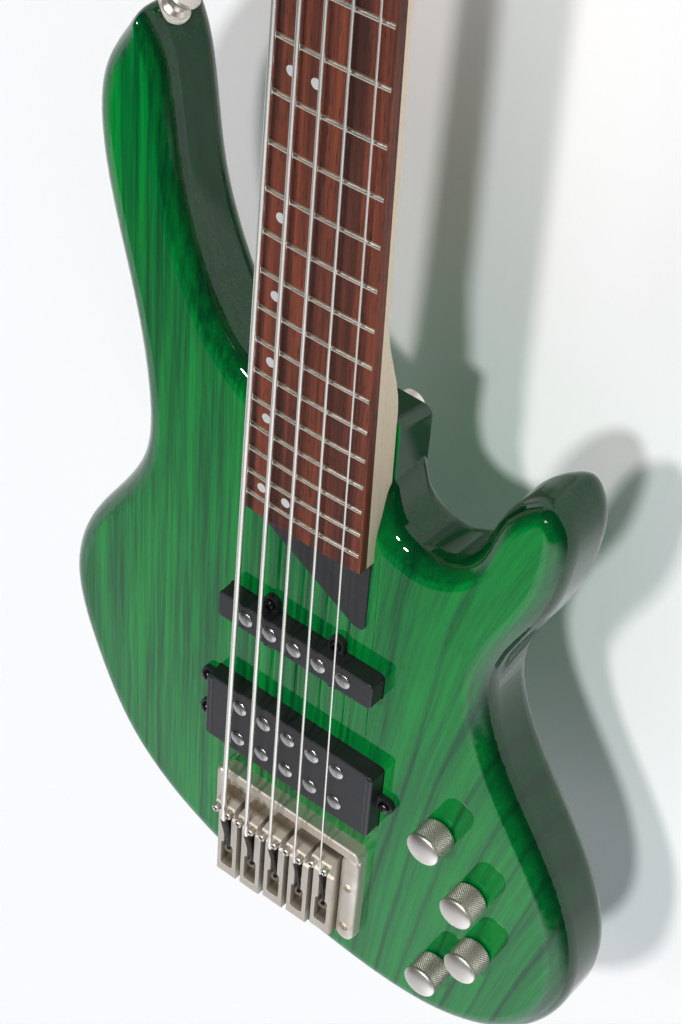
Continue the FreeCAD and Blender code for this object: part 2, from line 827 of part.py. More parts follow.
def make_nut():
    """Nut with a groove under each string."""
    half = board_half_width(scale_length)
    top = string_z(2, scale_length) + string_diameters[0] / 4.0
    solid = block(-half, half, scale_length, scale_length + nut_length, board_bottom, top)
    front_edges = [edge for edge in solid.Edges
                   if edge.BoundBox.ZMin > top - 0.01 and edge.BoundBox.YLength < 0.01]
    solid = solid.makeFillet(nut_length / 5.0, front_edges)
    cuts = []
    for index, diameter in enumerate(string_diameters):
        radius = diameter / 2.0 + string_slot_gap
        groove = Part.makeCylinder(radius, 3 * nut_length, Vector(0, 0, 0), Vector(0, 1, 0))
        x, z = string_x(index, scale_length), string_z(index, scale_length)
        groove.translate(Vector(x, scale_length - nut_length, z))
        mouth = block(x - radius, x + radius, scale_length - cut_over, scale_length + nut_length + cut_over,
                      z, z + nut_length)
        cuts += [groove, mouth]
    return solid.cut(cuts).removeSplitter()


def make_truss_rod():
    """Rod in its channel, with the adjusting nut past the heel."""
    half = truss_rod_width / 2.0 - joint_gap
    low = board_bottom - truss_rod_depth + joint_gap
    top = scale_length - truss_rod_stop - joint_gap
    bar = block(-half, half, board_end_y, top, low, board_bottom - joint_gap)
    nut = Part.makeCylinder(truss_nut_radius, truss_nut_length, Vector(0, 0, 0), Vector(0, -1, 0))
    nut.translate(Vector(0, board_end_y, body_top - truss_nut_radius - truss_nut_cover_gap))
    return bar.fuse(nut).removeSplitter()


def make_end_plate():
    """Thin dark plate at the end of the board, cut off at a slant."""
    half = board_half_width(board_end_y) - end_plate_side_inset
    start = board_end_y - joint_gap
    foot = start - end_plate_length
    return prism([(-half, start, end_plate_corner), (-half, start - end_plate_slope_start, end_plate_corner),
                  (half - end_plate_foot, foot, end_plate_corner), (half, foot, end_plate_corner),
                  (half, start, end_plate_corner)], body_top, body_top + end_plate_thickness)


def make_neck_bolts():
    """Four bolts from the back into the heel."""
    length = neck_bottom - neck_bolt_sink + neck_bolt_bite - joint_gap
    bolt = countersunk_screw(neck_bolt_radius - joint_gap, neck_bolt_head_radius - joint_gap, length)
    return Part.makeCompound([aimed(bolt, Vector(x, y, neck_bolt_sink), Vector(0, 0, -1))
                              for x, y in neck_bolt_places()])


def make_ferrules():
    """Sunk cups under the bolt heads."""
    head, shank = neck_bolt_head_radius, neck_bolt_radius
    level = neck_bolt_sink
    cup = turned([(ferrule_radius - joint_gap, 0.0), (ferrule_radius - joint_gap, ferrule_depth),
                  (shank, ferrule_depth), (shank, level + head - shank), (head, level), (head, ferrule_edge),
                  (head + ferrule_edge, 0.0)])
    return Part.makeCompound([cup.translated(Vector(x, y, 0)) for x, y in neck_bolt_places()])


def make_bridge_base():
    """Base plate with a front lip, a screwed treble rail and a thin bass wall."""
    wall_x = -rail_inner_x
    outer_x = wall_x - bass_wall_thickness
    plate = prism([(outer_x, bridge_rear_y, bridge_corner), (rail_outer_x, bridge_rear_y, bridge_corner),
                   (rail_outer_x, bridge_front_y, bridge_corner), (outer_x, bridge_front_y, bridge_corner)],
                  body_top, bridge_floor)
    lip_rear = bridge_front_y - bridge_lip_length
    lip = prism([(outer_x, lip_rear, 0), (rail_outer_x, lip_rear, 0),
                 (rail_outer_x, bridge_front_y, bridge_corner), (outer_x, bridge_front_y, bridge_corner)],
                body_top, body_top + bridge_lip_height)
    rims = [edge for edge in lip.Edges if edge.BoundBox.ZMin > body_top + bridge_lip_height - 0.01
            and edge.BoundBox.YMax > lip_rear + 0.01]
    lip = lip.makeFillet(bridge_lip_round, rims)
    rail = prism([(rail_inner_x, bridge_rear_y, rail_width * 0.36),
                  (rail_outer_x, bridge_rear_y, rail_width * 0.46),
                  (rail_outer_x, bridge_front_y, bridge_corner), (rail_inner_x, bridge_front_y, 0)],
                 body_top, body_top + rail_height)
    rims = [edge for edge in rail.Edges if edge.BoundBox.ZMin > body_top + rail_height - 0.01
            and edge.BoundBox.YMax < bridge_front_y - 0.01]
    rail = rail.makeFillet(rail_round * 0.5, rims)
    wall = block(outer_x, wall_x, bass_wall_rear_y, bridge_front_y - bridge_corner, body_top,
                 body_top + bridge_lip_height - bass_wall_drop)
    solid = plate.multiFuse([lip, rail, wall]).translated(Vector(string_centre_bridge, 0, 0))
    head, shank = bridge_screw_head_radius, bridge_screw_radius + joint_gap
    cuts = []
    for x, y in bridge_screw_places():
        top = body_top + rail_height
        cuts.append(rod(x, y, body_top - cut_over, top + cut_over, shank))
        cuts.append(Part.makeCone(shank, head, head - shank, Vector(x, y, top - head + shank)))
    return solid.cut(cuts).removeSplitter()


def make_bridge_screws():
    """Countersunk screws in the treble rail."""
    level = body_top + rail_height - bridge_screw_sink
    length = rail_height - bridge_screw_sink + bridge_screw_bite - joint_gap
    head = bridge_screw_head_radius - bridge_screw_sink - bridge_screw_room
    screw = countersunk_screw(bridge_screw_radius - joint_gap, head, length)
    return Part.makeCompound([screw.translated(Vector(x, y, level)) for x, y in bridge_screw_places()])


def make_saddle(index):
    """Sliding carriage of one string: a land under the string and a forked block for its ball end."""
    x = string_x(index, 0)
    rear_edge = saddle_break_y[index]
    floor = bridge_floor + saddle_slide_gap
    land = string_z(index, rear_edge) - string_diameters[index] / 2.0 - saddle_string_gap
    top = body_top + block_top_over_body
    front, back = rear_edge + saddle_land, rear_edge - block_rear
    nose = rear_edge - block_front
    step = top - saddle_step
    slope_end = front - saddle_front_slope
    profile = [(front, floor), (front, land - saddle_front_drop), (slope_end, land - saddle_edge),
               (slope_end - saddle_edge, land), (rear_edge, land),
               (rear_edge - saddle_edge, land - saddle_edge), (nose + saddle_edge, step), (nose, step),
               (nose, top - block_nose_drop), (nose - block_nose_drop, top), (back + saddle_edge, top),
               (back, top - saddle_edge), (back, floor)]
    points = [Vector(x - saddle_width / 2.0, y, z) for y, z in profile]
    solid = Part.Face(Part.makePolygon(points + points[:1])).extrude(Vector(saddle_width, 0, 0))
    half_slot, half_pocket = string_slot_width / 2.0, ball_pocket_width / 2.0
    slot_floor = floor + string_slot_floor
    slot_start = rear_edge - string_run_past_saddle / 4.0
    slot_end = rear_edge - ball_pocket_front - cut_over
    slot = block(x - half_slot, x + half_slot, slot_end, slot_start, slot_floor, land + cut_far)
    pocket = prism(rectangle(x - half_pocket, x + half_pocket, rear_edge - ball_pocket_rear,
                             rear_edge - ball_pocket_front, half_pocket * 0.45), slot_floor, top + cut_over)
    return solid.cut(slot).cut(pocket).removeSplitter()


def arc_from(start, tangent, end):
    """Arc that leaves a point along a tangent and reaches another point."""
    chord = end - start
    along = chord * (1.0 / chord.Length)
    aside = tangent - along * tangent.dot(along)
    if aside.Length < 1e-7:
        return Part.LineSegment(start, end).toShape()
    angle = tangent.getAngle(along)
    middle = start + chord * 0.5 + aside.normalize() * (chord.Length / 2.0 * math.tan(angle / 2.0))
    return Part.Arc(start, middle, end).toShape()


def biarc(start, start_tangent, end, end_tangent):
    """Two arcs that join two points smoothly along given tangents."""
    chord = end - start
    total = start_tangent + end_tangent
    bend = 2.0 * (1.0 - start_tangent.dot(end_tangent))
    reach = chord.dot(total)
    if bend < 1e-9:
        size = chord.dot(chord) / (2.0 * reach)
    else:
        size = (math.sqrt(reach * reach + bend * chord.dot(chord)) - reach) / bend
    middle = (start + end + (start_tangent - end_tangent) * size) * 0.5
    first = arc_from(start, start_tangent, middle)
    second = arc_from(end, end_tangent * -1.0, middle)
    return [first, second]


def bend_at(before, corner, after, reach):
    """Arc that rounds one corner of a taut string, with its two ends."""
    back = (before - corner).normalize()
    onward = (after - corner).normalize()
    start, end = corner + back * reach, corner + onward * reach
    return start, arc_from(start, back * -1.0, end), end


def wrap_start(index, origin):
    """Where a string first meets its post in plan, seen from the nut."""
    x, y, side = post_places()[index]
    radius = post_waist_radius + wrap_clearance + string_diameters[index] / 2.0
    to_post = Vector(x, y, 0) - Vector(origin.x, origin.y, 0)
    turn = math.degrees(math.asin(radius / to_post.Length))
    reach = math.sqrt(to_post.Length ** 2 - radius ** 2)
    direction = FreeCAD.Rotation(Vector(0, 0, 1), side * turn).multVec(to_post.normalize())
    return Vector(origin.x, origin.y, 0) + direction * reach, radius


def least_turn_gap(turns, half_turn):
    """Least distance between points of a winding that lie at least half a turn apart along it."""
    points = Part.Wire(Part.__sortEdges__(turns)).discretize(Distance=0.4)
    apart = int(half_turn / 0.4)
    count = len(points)
    return min((points[k] - points[j]).Length for k in range(count) for j in range(k + apart, count))


def make_string(index):
    """One string: ball end, run over the saddle and nut, and the turns on its post."""
    radius = string_diameters[index] / 2.0
    x = string_x(index, 0)
    rear_edge = saddle_break_y[index]
    ball_y = rear_edge - ball_pocket_front - ball_radius - ball_back_off
    ball = Vector(x, ball_y, bridge_floor + saddle_slide_gap + string_slot_floor + ball_height)
    fall_y = rear_edge - string_run_past_saddle
    fall = Vector(x, fall_y, string_z(index, fall_y))
    nut_y = scale_length + nut_length
    nut = Vector(string_x(index, scale_length), nut_y, string_z(index, scale_length))
    meet, wrap_radius = wrap_start(index, nut)
    hold_y = scale_length + retainer_from_nut
    share = (hold_y - nut_y) / (meet.y - nut_y)
    hold_z = head_top + retainer_over_face - retainer_radius - radius - retainer_string_gap
    hold = Vector(nut.x + (meet.x - nut.x) * share, hold_y, hold_z)
    post_x, post_y, side = post_places()[index]
    pitch = string_diameters[index] + wrap_gap
    quarters = wrap_quarter_turns[index]
    wrap_end_z = head_top + bushing_flange_height + wrap_over_bushing + radius
    entry = Vector(meet.x, meet.y, wrap_end_z + pitch * quarters / 4.0)
    edges = []
    place = ball
    for before, corner, after, reach in ((ball, fall, nut, saddle_bend), (fall, nut, hold, nut_bend),
                                         (nut, hold, entry, retainer_bend)):
        start, arc, end = bend_at(before, corner, after, reach)
        edges += [Part.LineSegment(place, start).toShape(), arc]
        place = end
    edges.append(Part.LineSegment(place, entry).toShape())
    tangent = (entry - place).normalize()
    angle = math.atan2(entry.y - post_y, entry.x - post_x)
    here = entry
    turns = []
    for quarter in range(1, quarters + 1):
        turned_angle = angle - side * quarter * math.pi / 2.0
        onward = Vector(post_x + wrap_radius * math.cos(turned_angle),
                        post_y + wrap_radius * math.sin(turned_angle), entry.z - pitch * quarter / 4.0)
        level = Vector(side * math.sin(turned_angle), -side * math.cos(turned_angle), 0)
        slope = Vector(0, 0, -pitch / (2.0 * math.pi * wrap_radius))
        next_tangent = (level + slope).normalize()
        turns += biarc(here, tangent, onward, next_tangent)
        here, tangent = onward, next_tangent
    path = Part.Wire(Part.__sortEdges__(edges + turns))
    first = (fall - ball).normalize()
    section = Part.Wire([Part.makeCircle(radius, ball, first)])
    tube = path.makePipeShell([section], True, False)
    ball_start = Vector(x - ball_length / 2.0, ball.y, ball.z)
    barrel = Part.makeCylinder(ball_radius, ball_length, ball_start, Vector(1, 0, 0))
    gap = least_turn_gap(turns, math.pi * wrap_radius) - 2.0 * radius
    print("string", string_names[index], "least gap between turns", round(gap, 3))
    return tube.fuse(barrel)


def pole_rows(kind):
    """Lines of pole pieces of a pickup."""
    if kind == "neck":
        return [neck_pickup_y]
    return [bridge_pickup_y + side * bridge_pickup_row_pitch / 2.0 for side in (-1, 1)]


def pickup_size(kind):
    """Length, width and middle of a pickup."""
    if kind == "neck":
        return neck_pickup_length, neck_pickup_width, neck_pickup_y
    return bridge_pickup_length, bridge_pickup_width, bridge_pickup_y


def make_pickup_cover(kind):
    """Moulded cover, open below, with screw ears that lie on the body and holes for the poles."""
    length, width, y = pickup_size(kind)
    half_length, half_width = length / 2.0, width / 2.0
    top = body_top + pickup_height
    low = body_top - pickup_below
    outer = rectangle(-half_length, half_length, y - half_width, y + half_width, pickup_corner)
    shell = prism(outer, low, top)
    rims = [edge for edge in shell.Edges if edge.BoundBox.ZMin > top - 0.01]
    shell = shell.makeFillet(pickup_edge, rims)
    ears = []
    for ear_x, ear_y in ear_places(kind):
        ears.append(rod(ear_x, ear_y, body_top, body_top + ear_height, ear_radius))
        reach_x = min(abs(ear_x), half_length - pickup_wall) * (1 if ear_x > 0 else -1)
        reach_y = y + max(pickup_wall - half_width, min(half_width - pickup_wall, ear_y - y))
        if kind == "neck":
            corners = (ear_x - ear_radius, ear_x + ear_radius, min(ear_y, reach_y), max(ear_y, reach_y))
        else:
            corners = (min(ear_x, reach_x), max(ear_x, reach_x), ear_y - ear_radius, ear_y + ear_radius)
        ears.append(block(*corners, body_top, body_top + ear_height))
    solid = shell.multiFuse(ears)
    wall = pickup_wall
    inner_length, inner_width = half_length - wall, half_width - wall
    inner = rectangle(-inner_length, inner_length, y - inner_width, y + inner_width, pickup_corner - wall)
    hollow = prism(inner, low - cut_over, top - wall)
    cuts = [hollow]
    for ear_x, ear_y in ear_places(kind):
        cuts.append(rod(ear_x, ear_y, body_top - cut_over, body_top + ear_height + cut_over,
                        pickup_screw_radius + joint_gap))
    for row in pole_rows(kind):
        for index in range(len(string_names)):
            cuts.append(rod(pole_x(index, row), row, top - wall - cut_over, top + cut_over,
                            pole_radius + joint_gap / 2.0))
    return solid.cut(cuts).removeSplitter()


def make_poles(kind):
    """Round pole pieces with a soft edge."""
    top = body_top + pickup_height + pole_proud
    edge = pole_edge
    pole = turned([(0, 0), (pole_radius - edge, 0), (pole_radius, -edge), (pole_radius, -pole_length),
                   (0, -pole_length)])
    places = [Vector(pole_x(index, row), row, top)
              for row in pole_rows(kind) for index in range(len(string_names))]
    return Part.makeCompound([pole.translated(place) for place in places])


def make_coils(kind):
    """Wound coil round each row of poles, inside the cover."""
    _, width, y = pickup_size(kind)
    rows = pole_rows(kind)
    room = width - 2.0 * pickup_wall - 2.0 * joint_gap
    half_width = room / len(rows) / 2.0 - joint_gap
    top = body_top + pickup_height - pickup_wall - joint_gap
    coils = []
    for row in rows:
        reach = pole_x(len(string_names) - 1, row) + pole_radius + coil_window_gap
        centre = y + (row - y) * (room / 2.0 / bridge_pickup_row_pitch if len(rows) > 1 else 1)
        end = reach + coil_length_past_poles
        outer = rectangle(-end, end, centre - half_width, centre + half_width, half_width * 0.8)
        window = pole_radius + coil_window_gap
        inner = rectangle(-reach, reach, row - window, row + window, window * 0.9)
        middle = prism(inner, top - coil_height - cut_over, top + cut_over)
        coils.append(prism(outer, top - coil_height, top).cut(middle))
    return Part.makeCompound(coils)


def make_pickup_screws():
    """Dark screws through the ears of both pickups."""
    screw = pan_screw(pickup_screw_radius - joint_gap, pickup_screw_head_radius, pickup_screw_head_height,
                      ear_height + pickup_screw_bite - joint_gap)
    places = ear_places("neck") + ear_places("bridge")
    return Part.makeCompound([screw.translated(Vector(x, y, body_top + ear_height)) for x, y in places])


def make_knob(number):
    """Knurled knob with a domed cap and a hollow foot."""
    x, y = knob_centres[number]
    low = body_top + knob_lift
    high = low + knob_height
    core = knob_radius - knob_flute_depth
    points = []
    for flute in range(knob_flutes):
        for share, radius in ((0.0, knob_radius), (0.5, core)):
            angle = 2.0 * math.pi * (flute + share) / knob_flutes
            points.append(Vector(radius * math.cos(angle), radius * math.sin(angle), low + knob_skirt))
    grip_height = high - low - 2.0 * knob_skirt
    grip = Part.Face(Part.makePolygon(points + points[:1])).extrude(Vector(0, 0, grip_height))
    foot = rod(0, 0, low, low + knob_skirt, core)
    bulge = (knob_radius ** 2 + knob_dome ** 2) / (2.0 * knob_dome)
    cap = rod(0, 0, high - knob_skirt, high + knob_dome, knob_radius)
    cap = cap.common(Part.makeSphere(bulge, Vector(0, 0, high + knob_dome - bulge)))
    solid = grip.multiFuse([foot, cap])
    recess = rod(0, 0, low - cut_over, low + knob_recess_depth, knob_recess_radius)
    bore = rod(0, 0, low - cut_over, low + knob_recess_depth + shaft_knob_depth, shaft_radius + shaft_fit)
    solid = solid.cut(recess).cut(bore).removeSplitter()
    return solid.translated(Vector(x, y, 0))


def make_shaft(number):
    """Turning shaft of one control."""
    x, y = knob_centres[number]
    low = body_top - control_roof - pot_height / 2.0
    high = body_top + knob_lift + knob_recess_depth + shaft_knob_depth - joint_gap
    return rod(x, y, low, high, shaft_radius)


def make_pots():
    """Four controls: a can under the roof of the cavity with its threaded bush through the face."""
    roof = body_top - control_roof
    cans = []
    for x, y in knob_centres:
        can = rod(x, y, roof - pot_height, roof, pot_radius)
        bush = rod(x, y, roof, body_top + pot_bush_over_body, pot_bush_radius)
        solid = can.fuse(bush)
        bore = rod(x, y, roof - pot_height / 2.0 - shaft_end_gap, body_top + cut_far,
                   shaft_radius + shaft_bush_gap)
        cans.append(solid.cut(bore).removeSplitter())
    return Part.makeCompound(cans)


def make_pot_nuts():
    """Hexagon nuts that clamp the controls to the face."""
    nuts = []
    for x, y in knob_centres:
        corner = Vector(pot_nut_radius, 0, 0)
        points = [FreeCAD.Rotation(Vector(0, 0, 1), 60 * k).multVec(corner) + Vector(x, y, body_top)
                  for k in range(6)]
        nut = Part.Face(Part.makePolygon(points + points[:1])).extrude(Vector(0, 0, pot_nut_height))
        bore = rod(x, y, body_top - cut_over, body_top + cut_far, pot_bush_radius + joint_gap / 2.0)
        nuts.append(nut.cut(bore))
    return Part.makeCompound(nuts)


def make_jack():
    """Barrel output jack with a flange in the edge of the body."""
    flange, barrel = jack_flange_radius, jack_barrel_radius
    shell = turned([(jack_bore_radius, jack_flange_height), (flange - jack_edge, jack_flange_height),
                    (flange, jack_flange_height - jack_edge), (flange, 0), (barrel, 0),
                    (barrel, -jack_barrel_length),
                    (0, -jack_barrel_length), (0, jack_flange_height - jack_bore_length),
                    (jack_bore_radius, jack_flange_height - jack_bore_length)])
    return aimed(shell, jack_seat, jack_out)


def make_cover():
    """Flush cover of the control cavity in the back."""
    cover = prism(control_corners(control_margin + cover_lip - cover_gap), 0, cover_thickness)
    cuts = []
    for x, y in cover_screw_places():
        cuts.append(rod(x, y, -cut_over, cover_thickness + cut_over, cover_screw_radius + joint_gap))
        cuts.append(Part.makeCone(cover_screw_head_radius + joint_gap, cover_screw_radius,
                                  cover_screw_head_radius - cover_screw_radius, Vector(x, y, 0)))
    return cover.cut(cuts).removeSplitter()


def make_cover_screws():
    """Countersunk screws of the control cover."""
    screw = countersunk_screw(cover_screw_radius - joint_gap, cover_screw_head_radius - joint_gap,
                              cover_thickness + cover_screw_bite - joint_gap)
    return Part.makeCompound([aimed(screw, Vector(x, y, cover_screw_sink), Vector(0, 0, -1))
                              for x, y in cover_screw_places()])


def make_strap_buttons():
    """Turned strap buttons at the upper horn and the tail."""
    low = strap_washer_height
    height, rim, waist, foot = strap_button_height, strap_button_radius, strap_button_waist, strap_button_foot
    button = turned([(strap_screw_radius, low), (foot, low), (0.97 * foot, low + 0.1 * height),
                     (1.07 * waist, low + 0.25 * height), (waist, low + 0.42 * height),
                     (1.1 * waist, low + 0.6 * height), (0.96 * rim, low + 0.75 * height),
                     (rim, low + 0.85 * height), (0.9 * rim, low + 0.95 * height),
                     (strap_screw_head_radius + joint_gap, low + height),
                     (strap_screw_radius, low + height - strap_screw_head_height)])
    return Part.makeCompound([aimed(button, base, out) for base, out in strap_frames])


def make_strap_washers():
    """Pale washers under the strap buttons."""
    high = strap_washer_height
    ring = turned([(strap_screw_radius, 0), (strap_washer_radius, 0), (strap_washer_radius, high),
                   (strap_screw_radius, high)])
    return Part.makeCompound([aimed(ring, base, out) for base, out in strap_frames])


def make_strap_screws():
    """Screws through the strap buttons into the body."""
    radius = strap_screw_radius - joint_gap
    high = strap_washer_height + strap_button_height
    screw = turned([(0, high), (strap_screw_head_radius, high), (radius, high - strap_screw_head_height),
                    (radius, radius - strap_screw_bite), (0, joint_gap - strap_screw_bite)])
    return Part.makeCompound([aimed(screw, base, out) for base, out in strap_frames])


def set_tuner(shape, place):
    """Move a tuner piece made for the bass side to its post, turned about for the treble side."""
    x, y, side = place
    turn = FreeCAD.Rotation(Vector(0, 0, 1), 0 if side < 0 else 180)
    copy = shape.copy()
    copy.Placement = FreeCAD.Placement(Vector(x, y, 0), turn).multiply(shape.Placement)
    return copy


def gear_outline(z, twist):
    """Closed tooth outline of the gear at one level, turned by a twist."""
    flank = math.tan(math.radians(tooth_flank_angle))
    tip, root = gear_pitch_radius + tooth_addendum, gear_pitch_radius - tooth_dedendum
    half_tip = tooth_thickness / 2.0 - tooth_addendum * flank
    half_root = tooth_thickness / 2.0 + tooth_dedendum * flank
    step = 2.0 * math.pi / gear_teeth
    start = -math.pi / 2.0 - step / 4.0 + step / 2.0 + twist
    points = []
    for tooth in range(gear_teeth):
        centre = start + tooth * step
        for half, radius in ((-half_root, root), (-half_tip, tip), (half_tip, tip), (half_root, root)):
            angle = centre + half / radius
            points.append(Vector(radius * math.cos(angle), radius * math.sin(angle), z))
    return Part.makePolygon(points + points[:1])


def make_post():
    """String post with its slanted worm gear in one piece."""
    low, high = worm_z - gear_thickness / 2.0, worm_z + gear_thickness / 2.0
    twist = axial_pitch * gear_thickness / 2.0 / (2.0 * math.pi * worm_pitch_radius) / gear_pitch_radius
    gear = Part.makeLoft([gear_outline(low, -twist), gear_outline(high, twist)], True, True)
    plate_low = head_back - tuner_plate_thickness - tuner_end_gap
    top = head_top + post_over_face
    waist_low, waist_high = head_top + bushing_flange_height + tuner_running_gap, top - post_head_height
    foot, collar = low - post_foot_height, post_radius + post_collar
    stem = turned([(0, foot), (post_foot_radius, foot), (post_foot_radius, low), (collar, low),
                   (collar, plate_low), (post_radius, plate_low), (post_radius, waist_low),
                   (post_waist_radius, waist_low + post_edge), (post_waist_radius, waist_high - post_edge),
                   (post_radius, waist_high), (post_radius, top - post_edge), (post_radius - post_edge, top),
                   (0, top)])
    solid = gear.fuse(stem)
    half_slit, reach = post_slit_width / 2.0, post_radius + cut_over
    slit = block(-half_slit, half_slit, -reach, reach, top - post_slit_depth, top + cut_over)
    well = rod(0, 0, top - post_well_depth, top + cut_over, post_well_radius)
    return solid.cut(slit).cut(well).removeSplitter()


def make_key():
    """Worm, shaft and paddle button in one piece, with the worm beside the post."""
    flank = math.tan(math.radians(tooth_flank_angle))
    half_tip = tooth_thickness / 2.0 - tooth_addendum * flank
    half_root = tooth_thickness / 2.0 + (tooth_dedendum + worm_root_overlap) * flank
    start = -worm_turns * axial_pitch / 2.0
    helix = Part.makeHelix(axial_pitch, worm_turns * axial_pitch, worm_pitch_radius)
    helix.translate(Vector(0, 0, start))
    inner = worm_root_radius - worm_root_overlap
    points = [Vector(inner, 0, start - half_root), Vector(worm_tip_radius, 0, start - half_tip),
              Vector(worm_tip_radius, 0, start + half_tip), Vector(inner, 0, start + half_root)]
    thread = Part.Wire(helix.Edges).makePipeShell([Part.makePolygon(points + points[:1])], True, True)
    ear_inner = -start + half_root + tuner_end_gap
    ear_outer = ear_inner + tuner_ear_thickness
    tail, worm_end = -ear_outer - key_end_past_ear, ear_inner - tuner_end_gap
    journal = key_journal_radius
    stem = turned([(0, tail), (journal, tail), (journal, -worm_end), (worm_root_radius, -worm_end),
                   (worm_root_radius, worm_end), (journal, worm_end),
                   (journal, key_neck_length + key_shaft_in_button),
                   (0, key_neck_length + key_shaft_in_button)])
    half, length = key_button_half_width, key_button_length
    base = key_neck_length
    rim = [(0, 0), (0.3 * half, 0.02), (0.62 * half, 0.2), (half, 0.52), (0.86 * half, 0.86),
           (0.4 * half, 1.0), (0, 0.94)]
    rim += [(-x, share) for x, share in reversed(rim[1:-1])]
    points = [Vector(x, -key_button_thickness / 2.0, base + share * length) for x, share in rim]
    curve = Part.BSplineCurve()
    curve.interpolate(Points=points, PeriodicFlag=True)
    button = Part.Face(Part.Wire([curve.toShape()])).extrude(Vector(0, key_button_thickness, 0))
    solid = stem.multiFuse([thread, button]).removeSplitter()
    turn = FreeCAD.Rotation(Vector(0, 1, 0), -90)
    solid.Placement = FreeCAD.Placement(Vector(0, -worm_offset, worm_z), turn)
    return solid


def make_tuner_plate():
    """Base plate under the headstock with two bearing ears for the worm shaft."""
    flank = math.tan(math.radians(tooth_flank_angle))
    half_root = tooth_thickness / 2.0 + (tooth_dedendum + worm_root_overlap) * flank
    ear_inner = worm_turns * axial_pitch / 2.0 + half_root + tuner_end_gap
    ear_outer = ear_inner + tuner_ear_thickness
    low = head_back - tuner_plate_thickness
    half = tuner_plate_half_length
    near_end, far_end = -worm_offset - tuner_plate_past_worm, tuner_plate_past_post
    plate = prism(rectangle(-half, half, near_end, far_end, tuner_plate_corner), low, head_back)
    ear_low, ear_high = -worm_offset - tuner_ear_half_width, -worm_offset + tuner_ear_half_width
    ears = [block(x0, x0 + tuner_ear_thickness, ear_low, ear_high, worm_z - tuner_ear_depth, low)
            for x0 in (-ear_outer, ear_inner)]
    solid = plate.multiFuse(ears)
    journal = Part.makeCylinder(key_journal_radius + tuner_running_gap, 4.0 * half, Vector(-2.0 * half, 0, 0),
                                Vector(1, 0, 0))
    cuts = [journal.translated(Vector(0, -worm_offset, worm_z)),
            rod(0, 0, low - cut_over, head_back + cut_over, post_radius + tuner_running_gap)]
    for x, y in tuner_screw_places(0, 0, -1):
        cuts.append(rod(x, y, low - cut_over, head_back + cut_over, small_screw_radius + joint_gap))
    return solid.cut(cuts).removeSplitter()


def make_bushing():
    """Pressed bushing round a post in the face of the headstock."""
    bore = post_radius + tuner_running_gap
    sleeve, flange = bushing_sleeve_radius - joint_gap / 2.0, bushing_flange_radius
    top = head_top + bushing_flange_height
    return turned([(bore, head_back + tuner_plate_thickness), (sleeve, head_back + tuner_plate_thickness),
                   (sleeve, head_top), (flange, head_top), (flange, top - bushing_edge),
                   (flange - bushing_edge, top), (bore, top)])


def make_head_screws():
    """Small screws of the tuner plates and the string retainer."""
    shank = small_screw_radius - joint_gap
    screw = pan_screw(shank, small_screw_head_radius, small_screw_head_height,
                      tuner_plate_thickness + small_screw_bite - joint_gap)
    screws = []
    for x, y, side in post_places():
        for screw_x, screw_y in tuner_screw_places(x, y, side):
            place = Vector(screw_x, screw_y, head_back - tuner_plate_thickness)
            screws.append(aimed(screw, place, Vector(0, 0, -1)))
    lift = retainer_over_face + retainer_radius - retainer_screw_sink
    long_screw = pan_screw(shank, small_screw_head_radius, small_screw_head_height,
                           lift + small_screw_bite - joint_gap)
    for x, y in retainer_screw_places():
        screws.append(long_screw.translated(Vector(x, y, head_top + lift)))
    return Part.makeCompound(screws)


def make_retainer():
    """Round bar that holds the strings down behind the nut, on two turned feet."""
    y = scale_length + retainer_from_nut
    z = head_top + retainer_over_face
    bar = Part.makeCylinder(retainer_radius, 2.0 * retainer_half_length, Vector(-retainer_half_length, y, z),
                            Vector(1, 0, 0))
    solid = bar
    cuts = []
    for x, foot_y in retainer_screw_places():
        solid = solid.fuse(rod(x, foot_y, head_top, z, retainer_radius - retainer_foot_inset))
        cuts.append(rod(x, foot_y, head_top - cut_over, z + cut_far, small_screw_radius))
        cuts.append(rod(x, foot_y, z + retainer_radius - retainer_screw_sink, z + cut_far,
                        small_screw_head_radius + joint_gap))
    return solid.cut(cuts).removeSplitter()


os.makedirs("parts", exist_ok=True)
save("body", make_body())
save("neck", make_neck())
save("fretboard", make_fretboard())
save("frets", make_frets())
save("position_dots", make_dots())
save("nut", make_nut())
save("truss_rod", make_truss_rod())
save("fingerboard_end_plate", make_end_plate())
save("neck_bolts", make_neck_bolts())
save("neck_ferrules", make_ferrules())
save("bridge_base", make_bridge_base())
save("bridge_screws", make_bridge_screws())
for pickup_kind in ("neck", "bridge"):
    save(pickup_kind + "_pickup_cover", make_pickup_cover(pickup_kind))
    save(pickup_kind + "_pickup_poles", make_poles(pickup_kind))
    save(pickup_kind + "_pickup_coil", make_coils(pickup_kind))
save("pickup_screws", make_pickup_screws())
for string_index, string_name in enumerate(string_names):
    save("string_" + string_name, make_string(string_index))
    save("saddle_" + string_name, make_saddle(string_index))
for knob_number in range(len(knob_centres)):
    save("knob_%d" % (knob_number + 1), make_knob(knob_number))
    save("pot_shaft_%d" % (knob_number + 1), make_shaft(knob_number))
save("pots", make_pots())
save("pot_nuts", make_pot_nuts())
save("output_jack", make_jack())
save("control_cover", make_cover())
save("control_cover_screws", make_cover_screws())
save("strap_buttons", make_strap_buttons())
save("strap_washers", make_strap_washers())
save("strap_button_screws", make_strap_screws())
tuner_post, tuner_key = make_post(), make_key()
tuner_plate, tuner_bushing = make_tuner_plate(), make_bushing()
for string_name, post_place in zip(string_names, post_places()):
    save("tuner_post_" + string_name, set_tuner(tuner_post, post_place))
    save("tuner_key_" + string_name, set_tuner(tuner_key, post_place))
save("tuner_plates", Part.makeCompound([set_tuner(tuner_plate, place) for place in post_places()]))
save("tuner_bushings", Part.makeCompound([set_tuner(tuner_bushing, place) for place in post_places()]))
